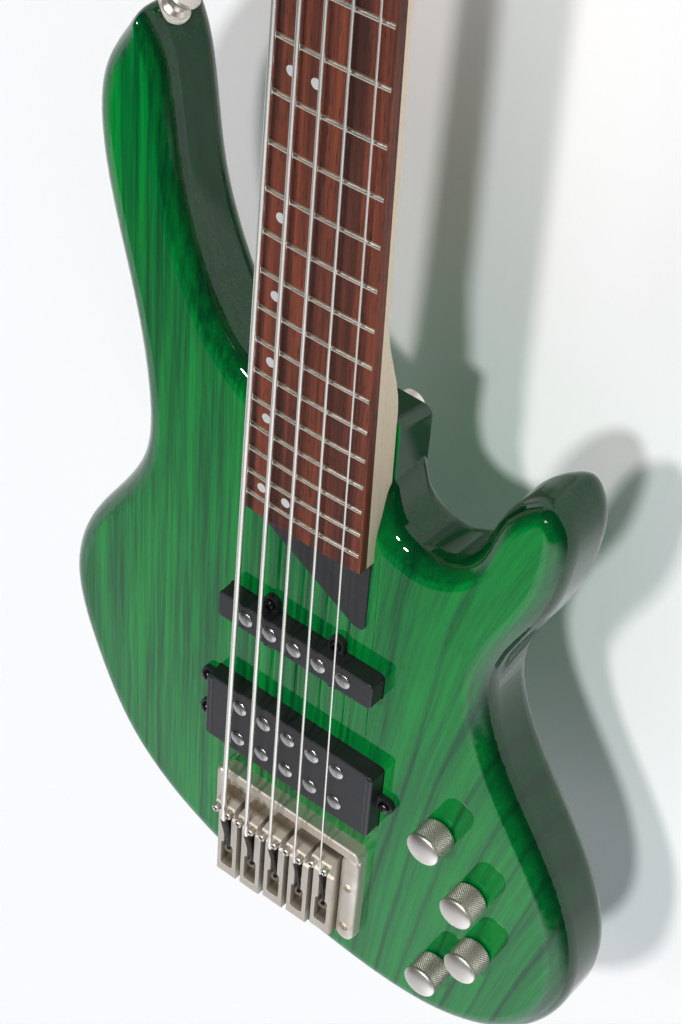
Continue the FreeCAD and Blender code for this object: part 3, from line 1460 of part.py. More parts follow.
save("headstock_screws", make_head_screws())
save("string_retainer", make_retainer())
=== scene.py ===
import json
import math

import bmesh
import bpy
from mathutils import Matrix, Vector
from mathutils.geometry import delaunay_2d_cdt


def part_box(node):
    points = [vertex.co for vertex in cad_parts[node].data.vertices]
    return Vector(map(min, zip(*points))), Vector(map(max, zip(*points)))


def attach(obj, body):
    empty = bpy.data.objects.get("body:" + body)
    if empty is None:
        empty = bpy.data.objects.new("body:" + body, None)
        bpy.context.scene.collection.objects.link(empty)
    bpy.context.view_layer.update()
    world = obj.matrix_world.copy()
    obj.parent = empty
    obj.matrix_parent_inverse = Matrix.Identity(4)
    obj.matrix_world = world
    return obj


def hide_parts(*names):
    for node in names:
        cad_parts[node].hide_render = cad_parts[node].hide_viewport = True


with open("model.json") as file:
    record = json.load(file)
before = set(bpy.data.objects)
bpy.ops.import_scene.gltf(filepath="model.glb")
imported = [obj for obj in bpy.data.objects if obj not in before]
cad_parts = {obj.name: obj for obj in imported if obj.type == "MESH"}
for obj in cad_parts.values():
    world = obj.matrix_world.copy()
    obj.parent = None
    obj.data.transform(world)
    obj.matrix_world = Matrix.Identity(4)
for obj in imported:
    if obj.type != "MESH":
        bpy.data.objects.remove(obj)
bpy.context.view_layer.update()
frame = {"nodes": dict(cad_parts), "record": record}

MM = 0.001
nodes = frame["nodes"]
scene = bpy.context.scene


# Material helpers

def new_material(name):
    """Empty node material with a principled shader on its output."""
    material = bpy.data.materials.new(name)
    material.use_nodes = True
    tree = material.node_tree
    tree.nodes.clear()
    output = tree.nodes.new("ShaderNodeOutputMaterial")
    shader = tree.nodes.new("ShaderNodeBsdfPrincipled")
    tree.links.new(shader.outputs["BSDF"], output.inputs["Surface"])
    return material, tree, shader


def feed(tree, socket, value):
    """Set a socket to a number or colour, or link another node's socket to it."""
    if isinstance(value, bpy.types.NodeSocket):
        tree.links.new(value, socket)
    else:
        socket.default_value = value


def dress(tree, shader, values):
    """Feed the inputs of a shader by their names."""
    for name, value in values.items():
        feed(tree, shader.inputs[name], value)


def math_node(tree, operation, first, second=0.0, third=0.0, clamp=False):
    """Result of one sum on numbers or sockets."""
    node = tree.nodes.new("ShaderNodeMath")
    node.operation = operation
    node.use_clamp = clamp
    for socket, value in zip(node.inputs, (first, second, third)):
        feed(tree, socket, value)
    return node.outputs[0]


def place(tree):
    """Point on the surface in metres, in the frame of the part at rest."""
    return tree.nodes.new("ShaderNodeTexCoord").outputs["Object"]


def coordinates(tree, point):
    """The three parts of a point."""
    node = tree.nodes.new("ShaderNodeSeparateXYZ")
    tree.links.new(point, node.inputs[0])
    return node.outputs


def noise(tree, point, scale, detail, roughness=0.5, distortion=0.0):
    """Cloudy value from zero to one, with a scale for each axis in cells to the metre."""
    stretched = tree.nodes.new("ShaderNodeVectorMath")
    stretched.operation = "MULTIPLY"
    feed(tree, stretched.inputs[0], point)
    feed(tree, stretched.inputs[1], scale)
    node = tree.nodes.new("ShaderNodeTexNoise")
    tree.links.new(stretched.outputs[0], node.inputs["Vector"])
    dress(tree, node, {"Scale": 1.0, "Detail": detail, "Roughness": roughness,
                       "Distortion": distortion})
    return node.outputs["Fac"]


def turns(tree, point, pitch):
    """Wave along Y, with one turn of a winding to each pitch."""
    y = coordinates(tree, point)[1]
    return math_node(tree, "SINE", math_node(tree, "MULTIPLY", y, 2 * math.pi / pitch))


def ramp(tree, value, stops, smooth=False):
    """Colours along a value: stops are pairs of place and colour."""
    node = tree.nodes.new("ShaderNodeValToRGB")
    node.color_ramp.interpolation = "EASE" if smooth else "LINEAR"
    elements = node.color_ramp.elements
    while len(elements) < len(stops):
        elements.new(0.5)
    for element, (where, colour) in zip(elements, stops):
        element.position = where
        element.color = (*colour, 1.0)
    tree.links.new(value, node.inputs["Fac"])
    return node.outputs["Color"]


def blend_colours(tree, factor, first, second):
    """Mixture of two colours, each of them plain or a socket."""
    node = tree.nodes.new("ShaderNodeMix")
    node.data_type = "RGBA"
    feed(tree, node.inputs["Factor"], factor)
    for name, colour in (("A", first), ("B", second)):
        plain = not isinstance(colour, bpy.types.NodeSocket)
        feed(tree, node.inputs[name], (*colour, 1.0) if plain else colour)
    return node.outputs["Result"]


def spread(tree, value, low, high, new_low=0.0, new_high=1.0):
    """Value moved from one range to another and held inside it."""
    node = tree.nodes.new("ShaderNodeMapRange")
    node.interpolation_type = "SMOOTHSTEP"
    for socket, number in zip(node.inputs, (value, low, high, new_low, new_high)):
        feed(tree, socket, number)
    return node.outputs["Result"]


def bump(tree, height, distance, strength):
    """Normal from a height, with the distance of its relief in metres."""
    node = tree.nodes.new("ShaderNodeBump")
    dress(tree, node, {"Strength": strength, "Distance": distance, "Height": height})
    return node.outputs["Normal"]


# Materials

STAIN = [(0.0, (0.0, 0.27, 0.036)), (0.35, (0.0, 0.17, 0.03)), (0.7, (0.0, 0.085, 0.021)),
         (1.0, (0.0, 0.04, 0.013))]
STAIN_IN_PORES = (0.0, 0.022, 0.008)
# Colour at the rim: deeper stain on the end grain, and painted shade on the sides that turn away
# from up.
RIM_STAIN_AND_PAINTED_SHADE = (0.0, 0.016, 0.006)
RING_SHAPE = [(0.0, 0.75), (0.05, 1.0), (0.16, 0.3), (0.5, 0.0), (0.9, 0.12), (1.0, 0.75)]
RINGS_TO_METRE = 46.0
RING_SHIVER = 0.22
RING_SWAY = 1.6
RING_SHARE = 0.42
PATCH_SHARE = 0.25
FIBRE_SHARE = 0.75
TREBLE_SIDE = (-0.01, 0.07)
STREAK_SHARES = (0.5, 0.19)
GRAIN_LEAN = (-0.03, 0.2, 0.0, 0.4)
GRAIN_PIVOT_Y = 0.13
# How far the surface turns from up before the rim colour takes over: deeper stain plus painted
# shade on the sides.
RIM_STAIN_AND_SHADE_WIDE = (0.45, 0.96, 0.42, 0.0)
RIM_STAIN_AND_SHADE_NARROW = (0.94, 0.998, 0.44, 0.0)


def leaning_grain(tree, point):
    """Place across the grain, and the point moved so that the grain leans on the treble side."""
    x, y, z = coordinates(tree, point)
    lean = math_node(tree, "MULTIPLY", spread(tree, x, *GRAIN_LEAN),
                     math_node(tree, "SUBTRACT", y, GRAIN_PIVOT_Y))
    across = math_node(tree, "SUBTRACT", x, lean)
    leaning = tree.nodes.new("ShaderNodeCombineXYZ")
    for socket, value in zip(leaning.inputs, (across, y, z)):
        feed(tree, socket, value)
    return across, leaning.outputs[0]


def growth_rings(tree, point, across):
    """Dark lines of the growth rings, one after the other across the grain."""
    sway = noise(tree, point, (11, 3, 11), 2.0)
    shiver = noise(tree, point, (90, 9, 90), 2.0)
    ring_place = math_node(tree, "MULTIPLY_ADD", shiver, RING_SHIVER,
                           math_node(tree, "MULTIPLY", across, RINGS_TO_METRE))
    ring_place = math_node(tree, "MULTIPLY_ADD", sway, RING_SWAY, ring_place)
    stops = [(where, (level, level, level)) for where, level in RING_SHAPE]
    return ramp(tree, math_node(tree, "FRACT", ring_place), stops, True)


def stained_ash():
    """Ash with green stain under a thick clear coat: streaks, rings, open pores, and dark edges
    that are partly deeper stain and partly painted shade.
    """
    material, tree, shader = new_material("stained_ash")
    point = place(tree)
    across, grain = leaning_grain(tree, point)
    treble = spread(tree, coordinates(tree, point)[0], *TREBLE_SIDE)
    ring = math_node(tree, "MULTIPLY", growth_rings(tree, point, across), treble)
    streak = noise(tree, grain, (330, 7, 330), 4.0, 0.6, 0.15)
    patch = noise(tree, grain, (85, 5, 85), 3.0, 0.55)
    fibre = noise(tree, grain, (1500, 26, 1500), 2.0, 0.6)
    shade = math_node(tree, "MULTIPLY", spread(tree, streak, 0.34, 0.68),
                      spread(tree, treble, 0.0, 1.0, *STREAK_SHARES))
    shade = math_node(tree, "ADD", shade, math_node(tree, "MULTIPLY", ring, RING_SHARE))
    shade = math_node(tree, "MULTIPLY_ADD", spread(tree, patch, 0.36, 0.7), PATCH_SHARE, shade)
    shade = math_node(tree, "MULTIPLY_ADD", math_node(tree, "SUBTRACT", fibre, 0.5), FIBRE_SHARE,
                      shade, True)
    pores = noise(tree, point, (2400, 95, 2400), 1.0)
    pores = math_node(tree, "MULTIPLY", spread(tree, pores, 0.62, 0.7),
                      math_node(tree, "MULTIPLY_ADD", ring, 0.3, 0.22))
    colour = blend_colours(tree, pores, ramp(tree, shade, STAIN), STAIN_IN_PORES)
    # Darker as the surface turns from up: partly deeper stain on the end grain, partly painted
    # shade on the sides.
    facing = coordinates(tree, tree.nodes.new("ShaderNodeTexCoord").outputs["Normal"])[2]
    level = math_node(tree, "ABSOLUTE", facing)
    edge = math_node(tree, "ADD", spread(tree, level, *RIM_STAIN_AND_SHADE_WIDE),
                     spread(tree, level, *RIM_STAIN_AND_SHADE_NARROW))
    peel = noise(tree, point, (130, 130, 130), 1.0)
    dress(tree, shader, {
        "Base Color": blend_colours(tree, edge, colour, RIM_STAIN_AND_PAINTED_SHADE), "Roughness": 0.55,
        "Specular IOR Level": 0.0, "Coat Weight": 1.0, "Coat Roughness": 0.012, "Coat IOR": 1.5,
        "Coat Normal": bump(tree, peel, 0.00002, 0.4)})
    return material


def maple():
    """Pale maple with fine lines and small flecks."""
    material, tree, shader = new_material("maple")
    point = place(tree)
    broad = noise(tree, point, (60, 3, 60), 3.0)
    line = noise(tree, point, (700, 9, 700), 3.0, 0.6)
    fleck = noise(tree, point, (1500, 190, 1500), 1.0)
    value = math_node(tree, "MULTIPLY_ADD", broad, 0.6, math_node(tree, "MULTIPLY", line, 0.5))
    colour = ramp(tree, value, [(0.25, (0.86, 0.74, 0.56)), (0.6, (0.80, 0.66, 0.48)),
                                (0.85, (0.70, 0.55, 0.38))])
    fleck = spread(tree, fleck, 0.62, 0.75, 0.0, 0.4)
    dress(tree, shader, {
        "Base Color": blend_colours(tree, fleck, colour, (0.50, 0.35, 0.19)),
        "Roughness": spread(tree, line, 0.2, 0.8, 0.36, 0.5),
        "Normal": bump(tree, line, 0.00004, 0.3)})
    return material


def rosewood():
    """Red-brown rosewood with dark streaks and open pores."""
    material, tree, shader = new_material("rosewood")
    point = place(tree)
    broad = noise(tree, point, (130, 4, 130), 3.0, 0.55, 0.4)
    line = noise(tree, point, (600, 8, 600), 4.0, 0.65)
    pores = noise(tree, point, (2600, 120, 2600), 1.0)
    value = math_node(tree, "MULTIPLY_ADD", broad, 0.75, math_node(tree, "MULTIPLY", line, 0.45))
    colour = ramp(tree, value, [(0.3, (0.29, 0.074, 0.034)), (0.5, (0.205, 0.05, 0.025)),
                                (0.66, (0.10, 0.028, 0.017)), (0.82, (0.04, 0.013, 0.009))])
    pore = spread(tree, pores, 0.6, 0.68)
    colour = blend_colours(tree, math_node(tree, "MULTIPLY", pore, 0.75), colour,
                           (0.02, 0.008, 0.006))
    dress(tree, shader, {
        "Base Color": colour, "Roughness": spread(tree, line, 0.2, 0.8, 0.5, 0.65),
        "Specular IOR Level": 0.3,
        "Normal": bump(tree, math_node(tree, "SUBTRACT", line, pore), 0.00006, 0.5)})
    return material


def metal(name, colour, tint, rough, brush=(900, 900, 900), relief=0.000012, low_shade=None):
    """Worn metal with fine grain and changes of tint; where asked, painted shade darkens it towards
    its foot.
    """
    material, tree, shader = new_material(name)
    point = place(tree)
    cloud = noise(tree, point, (55, 55, 55), 3.0)
    grain = noise(tree, point, brush, 2.0, 0.6)
    skin = blend_colours(tree, spread(tree, cloud, 0.3, 0.7), colour, tint)
    # Painted shade: from the given top down to the foot the colour goes over to the shade colour.
    if low_shade:
        foot, top, shade_colour = low_shade
        height = spread(tree, coordinates(tree, point)[2], foot, top)
        skin = blend_colours(tree, height, shade_colour, skin)
    mix = math_node(tree, "MULTIPLY_ADD", cloud, 0.5, math_node(tree, "MULTIPLY", grain, 0.5))
    dress(tree, shader, {
        "Base Color": skin, "Metallic": 1.0,
        "Roughness": spread(tree, mix, 0.3, 0.7, rough * 0.8, rough * 1.25),
        "Normal": bump(tree, grain, relief, 0.6)})
    return material


def plastic(name, colour, tint, rough, relief=0.00002):
    """Moulded plastic with a fine sparked texture and faint scuffs."""
    material, tree, shader = new_material(name)
    point = place(tree)
    cloud = noise(tree, point, (45, 45, 45), 3.0)
    grain = noise(tree, point, (1300, 1300, 1300), 2.0)
    scuff = noise(tree, point, (140, 900, 140), 2.0)
    mix = math_node(tree, "MULTIPLY_ADD", scuff, 0.5, math_node(tree, "MULTIPLY", cloud, 0.5))
    dress(tree, shader, {
        "Base Color": blend_colours(tree, spread(tree, cloud, 0.3, 0.7), colour, tint),
        "Roughness": spread(tree, mix, 0.3, 0.7, rough * 0.85, rough * 1.2),
        "Normal": bump(tree, grain, relief, 0.5)})
    return material


def pearl():
    """Milky shell with soft bands."""
    material, tree, shader = new_material("pearl")
    cloud = noise(tree, place(tree), (420, 420, 420), 3.0, 0.6, 1.5)
    colour = ramp(tree, cloud, [(0.3, (0.56, 0.585, 0.60)), (0.5, (0.64, 0.65, 0.64)),
                                (0.7, (0.50, 0.55, 0.57))])
    dress(tree, shader, {
        "Base Color": colour, "Roughness": spread(tree, cloud, 0.3, 0.7, 0.18, 0.32),
        "Coat Weight": 0.6, "Coat Roughness": 0.08})
    return material


def wound_string():
    """Bright wound wire: close turns round the core."""
    material, tree, shader = new_material("string_steel")
    point = place(tree)
    cloud = noise(tree, point, (300, 30, 300), 2.0)
    dress(tree, shader, {
        "Base Color": blend_colours(tree, cloud, (0.90, 0.865, 0.79), (0.80, 0.76, 0.68)),
        "Metallic": 1.0, "Roughness": spread(tree, cloud, 0.3, 0.7, 0.28, 0.36),
        "Normal": bump(tree, turns(tree, point, 0.00055), 0.00003, 0.25)})
    return material


def thread():
    """Dark thread wound closely round the end of a string."""
    material, tree, shader = new_material("dark_thread")
    point = place(tree)
    cloud = noise(tree, point, (500, 500, 500), 3.0)
    dress(tree, shader, {
        "Base Color": blend_colours(tree, cloud, (0.045, 0.036, 0.03), (0.018, 0.015, 0.014)),
        "Roughness": spread(tree, cloud, 0.3, 0.7, 0.6, 0.8),
        "Normal": bump(tree, turns(tree, point, 0.0005), 0.00006, 0.5)})
    return material


def felt():
    """Pale pressed felt."""
    material, tree, shader = new_material("pale_felt")
    fuzz = noise(tree, place(tree), (900, 900, 900), 4.0, 0.7)
    colour = ramp(tree, fuzz, [(0.3, (0.60, 0.57, 0.50)), (0.7, (0.82, 0.80, 0.74))])
    dress(tree, shader, {"Base Color": colour, "Roughness": 0.9, "Sheen Weight": 0.3,
                         "Normal": bump(tree, fuzz, 0.0001, 0.7)})
    return material


SATIN_BRUSH = (1600, 1600, 1600)
POLE_BRUSH = (2200, 2200, 2200)
WINDING_BRUSH = (60, 60, 3000)
SATIN_RELIEF = 0.00001
BRIDGE_METAL = ((0.86, 0.80, 0.72), (0.78, 0.715, 0.63), 0.62, SATIN_BRUSH, SATIN_RELIEF)
# Saddles: painted shade, the colour darkening from 51.6 mm down to 47.5 mm over the low fronts,
# slots and sides.
SADDLE_LOW_SHADE = (0.0475, 0.0516, (0.30, 0.265, 0.205))

looks = {
    "stained_ash": stained_ash(),
    "maple": maple(),
    "rosewood": rosewood(),
    "nickel_silver": metal("nickel_silver", (0.98, 0.93, 0.80), (0.93, 0.87, 0.73), 0.33,
                           relief=0.000002),
    "pearl": pearl(),
    "pale_composite": plastic("pale_composite", (0.74, 0.70, 0.60), (0.66, 0.61, 0.50), 0.42),
    "plain_steel": metal("plain_steel", (0.58, 0.57, 0.55), (0.48, 0.47, 0.45), 0.32),
    "satin_nickel": metal("satin_nickel", (0.86, 0.80, 0.735), (0.78, 0.715, 0.645), 0.4,
                          SATIN_BRUSH, SATIN_RELIEF),
    "dark_steel": metal("dark_steel", (0.055, 0.053, 0.055), (0.085, 0.08, 0.08), 0.25),
    "black_plastic": plastic("black_plastic", (0.016, 0.016, 0.018), (0.026, 0.025, 0.027), 0.42),
    "pole_steel": metal("pole_steel", (0.56, 0.545, 0.525), (0.48, 0.465, 0.445), 0.3,
                        POLE_BRUSH, SATIN_RELIEF),
    "copper_wire": metal("copper_wire", (0.50, 0.22, 0.09), (0.40, 0.16, 0.06), 0.35,
                         WINDING_BRUSH, 0.00008),
    "pale_felt": felt(),
    "string_steel": wound_string(),
}
bronze = metal("aged_bronze", (0.30, 0.26, 0.22), (0.18, 0.155, 0.135), 0.3)
brass = metal("dull_brass", (0.46, 0.36, 0.23), (0.34, 0.26, 0.165), 0.45)
bridge_nickel = metal("bridge_nickel", *BRIDGE_METAL)
# Saddle metal: the bridge metal with painted shade low down.
saddle_nickel = metal("saddle_nickel", *BRIDGE_METAL, SADDLE_LOW_SHADE)
silk = thread()
gloss = plastic("gloss_black", (0.028, 0.028, 0.03), (0.02, 0.02, 0.022), 0.16, 0.000004)


def node_look(name, slot):
    """Finish of a node: the bridge has its own, and the others take that of their slot."""
    # Saddles take the bridge metal with painted shade low down.
    if name.startswith("saddle_"):
        return saddle_nickel
    return bridge_nickel if name == "bridge_base" else looks[slot]


slots = {entry["node"]: entry["material_slot"] for entry in frame["record"]["subparts"]}
for name, slot in slots.items():
    if name in nodes:
        mesh = nodes[name].data
        mesh.materials.clear()
        mesh.materials.append(node_look(name, slot))


# Mesh helpers

GRIP_SMOOTH = 24.0
STRIP_SMOOTH = 20.0
SCREW_SMOOTH = 30.0
ROUND_SMOOTH = 40.0
RAIL_SMOOTH = 50.0
TUBE_SMOOTH = 60.0


def add_piece(name, body, slot, part, smooth_angle, look=None):
    """New mesh piece, sizes in millimetres, that rides on a body and takes the finish of a slot."""
    vertices, faces = part
    mesh = bpy.data.meshes.new(name)
    mesh.from_pydata([Vector(vertex) * MM for vertex in vertices], [], faces)
    mesh.validate()
    mesh.shade_smooth()
    mesh.set_sharp_from_angle(angle=math.radians(smooth_angle))
    mesh.materials.append(look or looks[slot])
    piece = bpy.data.objects.new(name, mesh)
    scene.collection.objects.link(piece)
    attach(piece, body)
    return piece


def joined(parts):
    """One part made of several."""
    vertices, faces = [], []
    for some_vertices, some_faces in parts:
        start = len(vertices)
        vertices += some_vertices
        faces += [tuple(start + corner for corner in face) for face in some_faces]
    return vertices, faces


def moved(part, matrix):
    """Part turned and shifted by a matrix."""
    vertices, faces = part
    return [matrix @ Vector(vertex) for vertex in vertices], faces


def centred(part, low, high):
    """Part about Z moved to the middle of a box."""
    middle = (low + high) / 2
    return moved(part, Matrix.Translation((middle.x, middle.y, 0)))


def skinned(rings):
    """Faces between rings of points, where a ring of one point closes an end."""
    faces = []
    for low, high in zip(rings, rings[1:]):
        count = max(len(low), len(high))
        for step in range(count):
            onward = (step + 1) % count
            if len(low) == 1:
                faces.append((low[0], high[onward], high[step]))
            elif len(high) == 1:
                faces.append((low[step], low[onward], high[0]))
            else:
                faces.append((low[step], low[onward], high[onward], high[step]))
    return faces


def circle(angle):
    """Plain round outline."""
    return 1.0


def hexagon(angle):
    """Six-sided outline inside a unit circle."""
    return math.cos(math.pi / 6) / math.cos(angle % (math.pi / 3) - math.pi / 6)


def cross(angle):
    """Outline of a cross recess inside a unit circle."""
    return 0.36 + 0.64 * math.cos(2 * angle) ** 6


def turned(profile, segments):
    """Closed solid of revolution about Z from rows of radius, height and any outline not round."""
    vertices, rings = [], []
    for radius, height, *outline in profile:
        count = segments if radius > 0 else 1
        rings.append(range(len(vertices), len(vertices) + count))
        for step in range(count):
            angle = 2 * math.pi * step / segments
            reach = radius * (outline[0] if outline else circle)(angle)
            vertices.append(Vector((reach * math.cos(angle), reach * math.sin(angle), height)))
    return vertices, skinned(rings)


def tube(points, radius, sides):
    """Round tube with closed ends along points, its section carried on without twist."""
    vertices, rings = [points[0]], [[0]]
    aside = Vector((1, 0, 0))
    for index, point in enumerate(points):
        along = points[min(index + 1, len(points) - 1)] - points[max(index - 1, 0)]
        along = along.normalized()
        aside = (aside - along * aside.dot(along)).normalized()
        over = along.cross(aside)
        rings.append(range(len(vertices), len(vertices) + sides))
        for step in range(sides):
            angle = 2 * math.pi * step / sides
            vertices.append(point + (aside * math.cos(angle) + over * math.sin(angle)) * radius)
    rings.append([len(vertices)])
    vertices.append(points[-1])
    return vertices, skinned(rings)


def solids_of(name):
    """Lowest and highest corner in millimetres of each separate solid of a node."""
    mesh = bmesh.new()
    mesh.from_mesh(nodes[name].data)
    bmesh.ops.remove_doubles(mesh, verts=mesh.verts, dist=1e-6)
    boxes, waiting = [], set(mesh.verts)
    while waiting:
        front = [waiting.pop()]
        found = list(front)
        while front:
            vertex = front.pop()
            for edge in vertex.link_edges:
                other = edge.other_vert(vertex)
                if other in waiting:
                    waiting.remove(other)
                    front.append(other)
                    found.append(other)
        boxes.append(tuple(Vector([pick(vertex.co[axis] for vertex in found) / MM
                                   for axis in range(3)]) for pick in (min, max)))
    mesh.free()
    return sorted(boxes, key=lambda box: tuple(round(value, 3) for value in box[0]))


def box_of(name):
    """Lowest and highest corner of a node in millimetres."""
    low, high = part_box(name)
    return Vector(low) / MM, Vector(high) / MM


# Knobs with a diamond grip

KNOB_RADIUS = 9.25
KNOB_DOME = 2.1
KNOB_COLUMNS = 72
KNOB_ROWS = 18
KNURL_DEPTH = 0.5
KNOB_FOOT = 1.0
KNOB_FOOT_RADIUS = KNOB_RADIUS - 0.3
KNOB_FOOT_EDGE = 0.2
KNOB_BORE_RADIUS = 3.05
KNOB_BORE_TOP = 12.6
KNOB_HOLLOW_RADIUS = 7.4
KNOB_HOLLOW_TOP = 4.6
CAP_BAND = ((0.05, 0.5), (0.0, 0.35), (0.0, 0.0))
CAP_BELOW = 0.6
CAP_SHARES = (0.99, 0.97, 0.94, 0.9, 0.84, 0.76, 0.66, 0.52, 0.35, 0.17)
CAP_POWER = 2.2


def knob(low, high):
    """Knob about Z: hollow foot, diamond grip and domed cap."""
    edge = high - KNOB_DOME
    inner = [(0, low + KNOB_BORE_TOP), (KNOB_BORE_RADIUS, low + KNOB_BORE_TOP),
             (KNOB_BORE_RADIUS, low + KNOB_HOLLOW_TOP), (KNOB_HOLLOW_RADIUS, low + KNOB_HOLLOW_TOP),
             (KNOB_HOLLOW_RADIUS, low), (KNOB_FOOT_RADIUS - KNOB_FOOT_EDGE, low),
             (KNOB_FOOT_RADIUS, low + KNOB_FOOT_EDGE), (KNOB_FOOT_RADIUS, low + KNOB_FOOT)]
    grip_low = low + KNOB_FOOT
    grip_height = edge - CAP_BELOW - low - KNOB_FOOT
    grip = [(None, grip_low + grip_height * row / KNOB_ROWS) for row in range(KNOB_ROWS + 1)]
    cap = [(KNOB_RADIUS - inset, edge - below) for inset, below in CAP_BAND]
    for share in CAP_SHARES:
        fall = KNOB_DOME * (1 - math.sqrt(1 - share ** CAP_POWER))
        cap.append((KNOB_RADIUS * share, high - fall))
    cap.append((0, high))
    vertices, rings = [], []
    for row, (radius, height) in enumerate(inner + grip + cap):
        count = 1 if radius == 0 else KNOB_COLUMNS
        rings.append(range(len(vertices), len(vertices) + count))
        for column in range(count):
            angle = 2 * math.pi * column / KNOB_COLUMNS
            reach = radius
            if radius is None:
                reach = KNOB_RADIUS - (KNURL_DEPTH if (row + column) % 2 else 0.0)
            vertices.append(Vector((reach * math.cos(angle), reach * math.sin(angle), height)))
    first, last = len(inner), len(inner) + KNOB_ROWS
    faces = skinned(rings[:first + 1]) + skinned(rings[last:])
    for row in range(first, last):
        here, above = rings[row], rings[row + 1]
        for column in range(KNOB_COLUMNS):
            onward = (column + 1) % KNOB_COLUMNS
            a, b, c, d = here[column], here[onward], above[onward], above[column]
            faces += [(a, b, c), (a, c, d)] if (row + column) % 2 else [(a, b, d), (b, c, d)]
    return vertices, faces


for number in range(1, 5):
    node = "knob_%d" % number
    low, high = box_of(node)
    part = centred(knob(low.z, high.z), low, high)
    grip = add_piece("grip_knob_%d" % number, node, "satin_nickel", part, GRIP_SMOOTH)
    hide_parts(node)


# Strings with their ball ends and turns

STRING_NAMES = ("b", "e", "a", "d", "g")
STRING_DIAMETERS = (2.9, 2.4, 1.9, 1.4, 1.0)
STRING_SIDES = 14
WRAP_QUARTERS = (4, 5, 6, 7, 8)
WRAP_STEPS = 9
WRAP_CLEAR = 0.35
WRAP_SPACE = 0.6
POST_X = (-28.0, -26.5, -25.0, 26.5, 28.0)
POST_Y = (925.6, 967.6, 1009.6, 967.6, 925.6)
POST_WAIST = 3.4
POST_COLLAR = 2.0
SCALE = 863.6
NUT_LENGTH = 5.0
BRIDGE_X, BRIDGE_PITCH, BRIDGE_GAP = -1.2, 15.9, 3.4
NUT_X, NUT_PITCH, NUT_GAP = -0.4, 9.4, 0.8
FRET_TOP = 52.5
CAMBER = 500.0
HEAD_TOP = 39.9
RETAINER_FROM_NUT = 36.0
RETAINER_TOP = 14.6
RETAINER_THICK = 3.0
RETAINER_LEVEL = HEAD_TOP + RETAINER_TOP - RETAINER_THICK
RETAINER_CLEAR = 0.25
SADDLE_LAND = 7.0
BREAK_BACK = 1.9
BRIDGE_FLOOR = 42.5
SLIDE_GAP = 0.05
SLOT_FLOOR = 2.0
BALL_RISE = 4.4
BALL_RADIUS = 3.0
BALL_BEHIND = 33.4
BALL_LEVEL = BRIDGE_FLOOR + SLIDE_GAP + SLOT_FLOOR + BALL_RISE
BALL_LEAN = (0.25, 0.5, 0.83)
THREAD_POINTS = 9
THREAD_SWELL = 0.3
BALL_STEPS = 10
EASE_STEPS = 6
SADDLE_EASE, NUT_EASE, RETAINER_EASE = 1.4, 2.0, 3.0
BALL_SEGMENTS = 28
SPEAKING_STEPS = 40


def string_place(index, y):
    """Axis of a string between the nut and the bridge."""
    share = y / SCALE
    pitch = BRIDGE_PITCH + (NUT_PITCH - BRIDGE_PITCH) * share
    x = BRIDGE_X + (NUT_X - BRIDGE_X) * share + (index - 2) * pitch
    drop = CAMBER - math.sqrt(CAMBER ** 2 - x * x)
    gap = BRIDGE_GAP + (NUT_GAP - BRIDGE_GAP) * share
    return Vector((x, y, FRET_TOP + gap + STRING_DIAMETERS[index] / 2 - drop))


def eased(before, corner, after, reach):
    """Points round a corner of a taut string."""
    start = corner + (before - corner).normalized() * reach
    end = corner + (after - corner).normalized() * reach
    shares = [step / EASE_STEPS for step in range(EASE_STEPS + 1)]
    return [start * (1 - t) ** 2 + corner * 2 * t * (1 - t) + end * t * t for t in shares]


def saddle_break(index):
    """Place along Y where a string leaves its saddle."""
    return box_of("saddle_" + STRING_NAMES[index])[1].y - SADDLE_LAND


def string_route(index):
    """Points along a string: ball end, saddle, nut, retainer and the turns on its post."""
    radius = STRING_DIAMETERS[index] / 2
    break_y = saddle_break(index)
    x = string_place(index, 0).x
    ball = Vector((x, break_y - BALL_BEHIND, BALL_LEVEL))
    fall = Vector((x, break_y - BREAK_BACK, string_place(index, break_y - BREAK_BACK).z))
    nut = string_place(index, SCALE)
    nut.y += NUT_LENGTH
    side = 1 if index > 2 else -1
    post = Vector((POST_X[index], POST_Y[index], 0))
    wrap_radius = POST_WAIST + WRAP_CLEAR + radius
    nut_foot = Vector((nut.x, nut.y, 0))
    to_post = post - nut_foot
    turn = side * math.asin(wrap_radius / to_post.length)
    reach = math.sqrt(to_post.length ** 2 - wrap_radius ** 2)
    meet = nut_foot + Matrix.Rotation(turn, 3, "Z") @ to_post.normalized() * reach
    pitch = STRING_DIAMETERS[index] + WRAP_SPACE
    quarters = WRAP_QUARTERS[index]
    low_z = HEAD_TOP + POST_COLLAR + WRAP_SPACE + radius
    entry = Vector((meet.x, meet.y, low_z + pitch * quarters / 4))
    hold_y = SCALE + RETAINER_FROM_NUT
    share = (hold_y - nut.y) / (meet.y - nut.y)
    hold = Vector((nut.x + (meet.x - nut.x) * share, hold_y,
                   RETAINER_LEVEL - radius - RETAINER_CLEAR))
    points = [ball] + [ball.lerp(fall, step / BALL_STEPS) for step in range(1, BALL_STEPS)]
    points += eased(ball, fall, nut, SADDLE_EASE)
    points += [points[-1].lerp(nut, step / SPEAKING_STEPS) for step in range(1, SPEAKING_STEPS)]
    points += eased(fall, nut, hold, NUT_EASE) + eased(nut, hold, entry, RETAINER_EASE)
    start = math.atan2(entry.y - post.y, entry.x - post.x)
    for step in range(quarters * WRAP_STEPS + 1):
        angle = start - side * step * math.pi / (2 * WRAP_STEPS)
        level = entry.z - pitch * step / (4 * WRAP_STEPS)
        points.append(Vector((post.x + wrap_radius * math.cos(angle),
                              post.y + wrap_radius * math.sin(angle), level)))
    return points


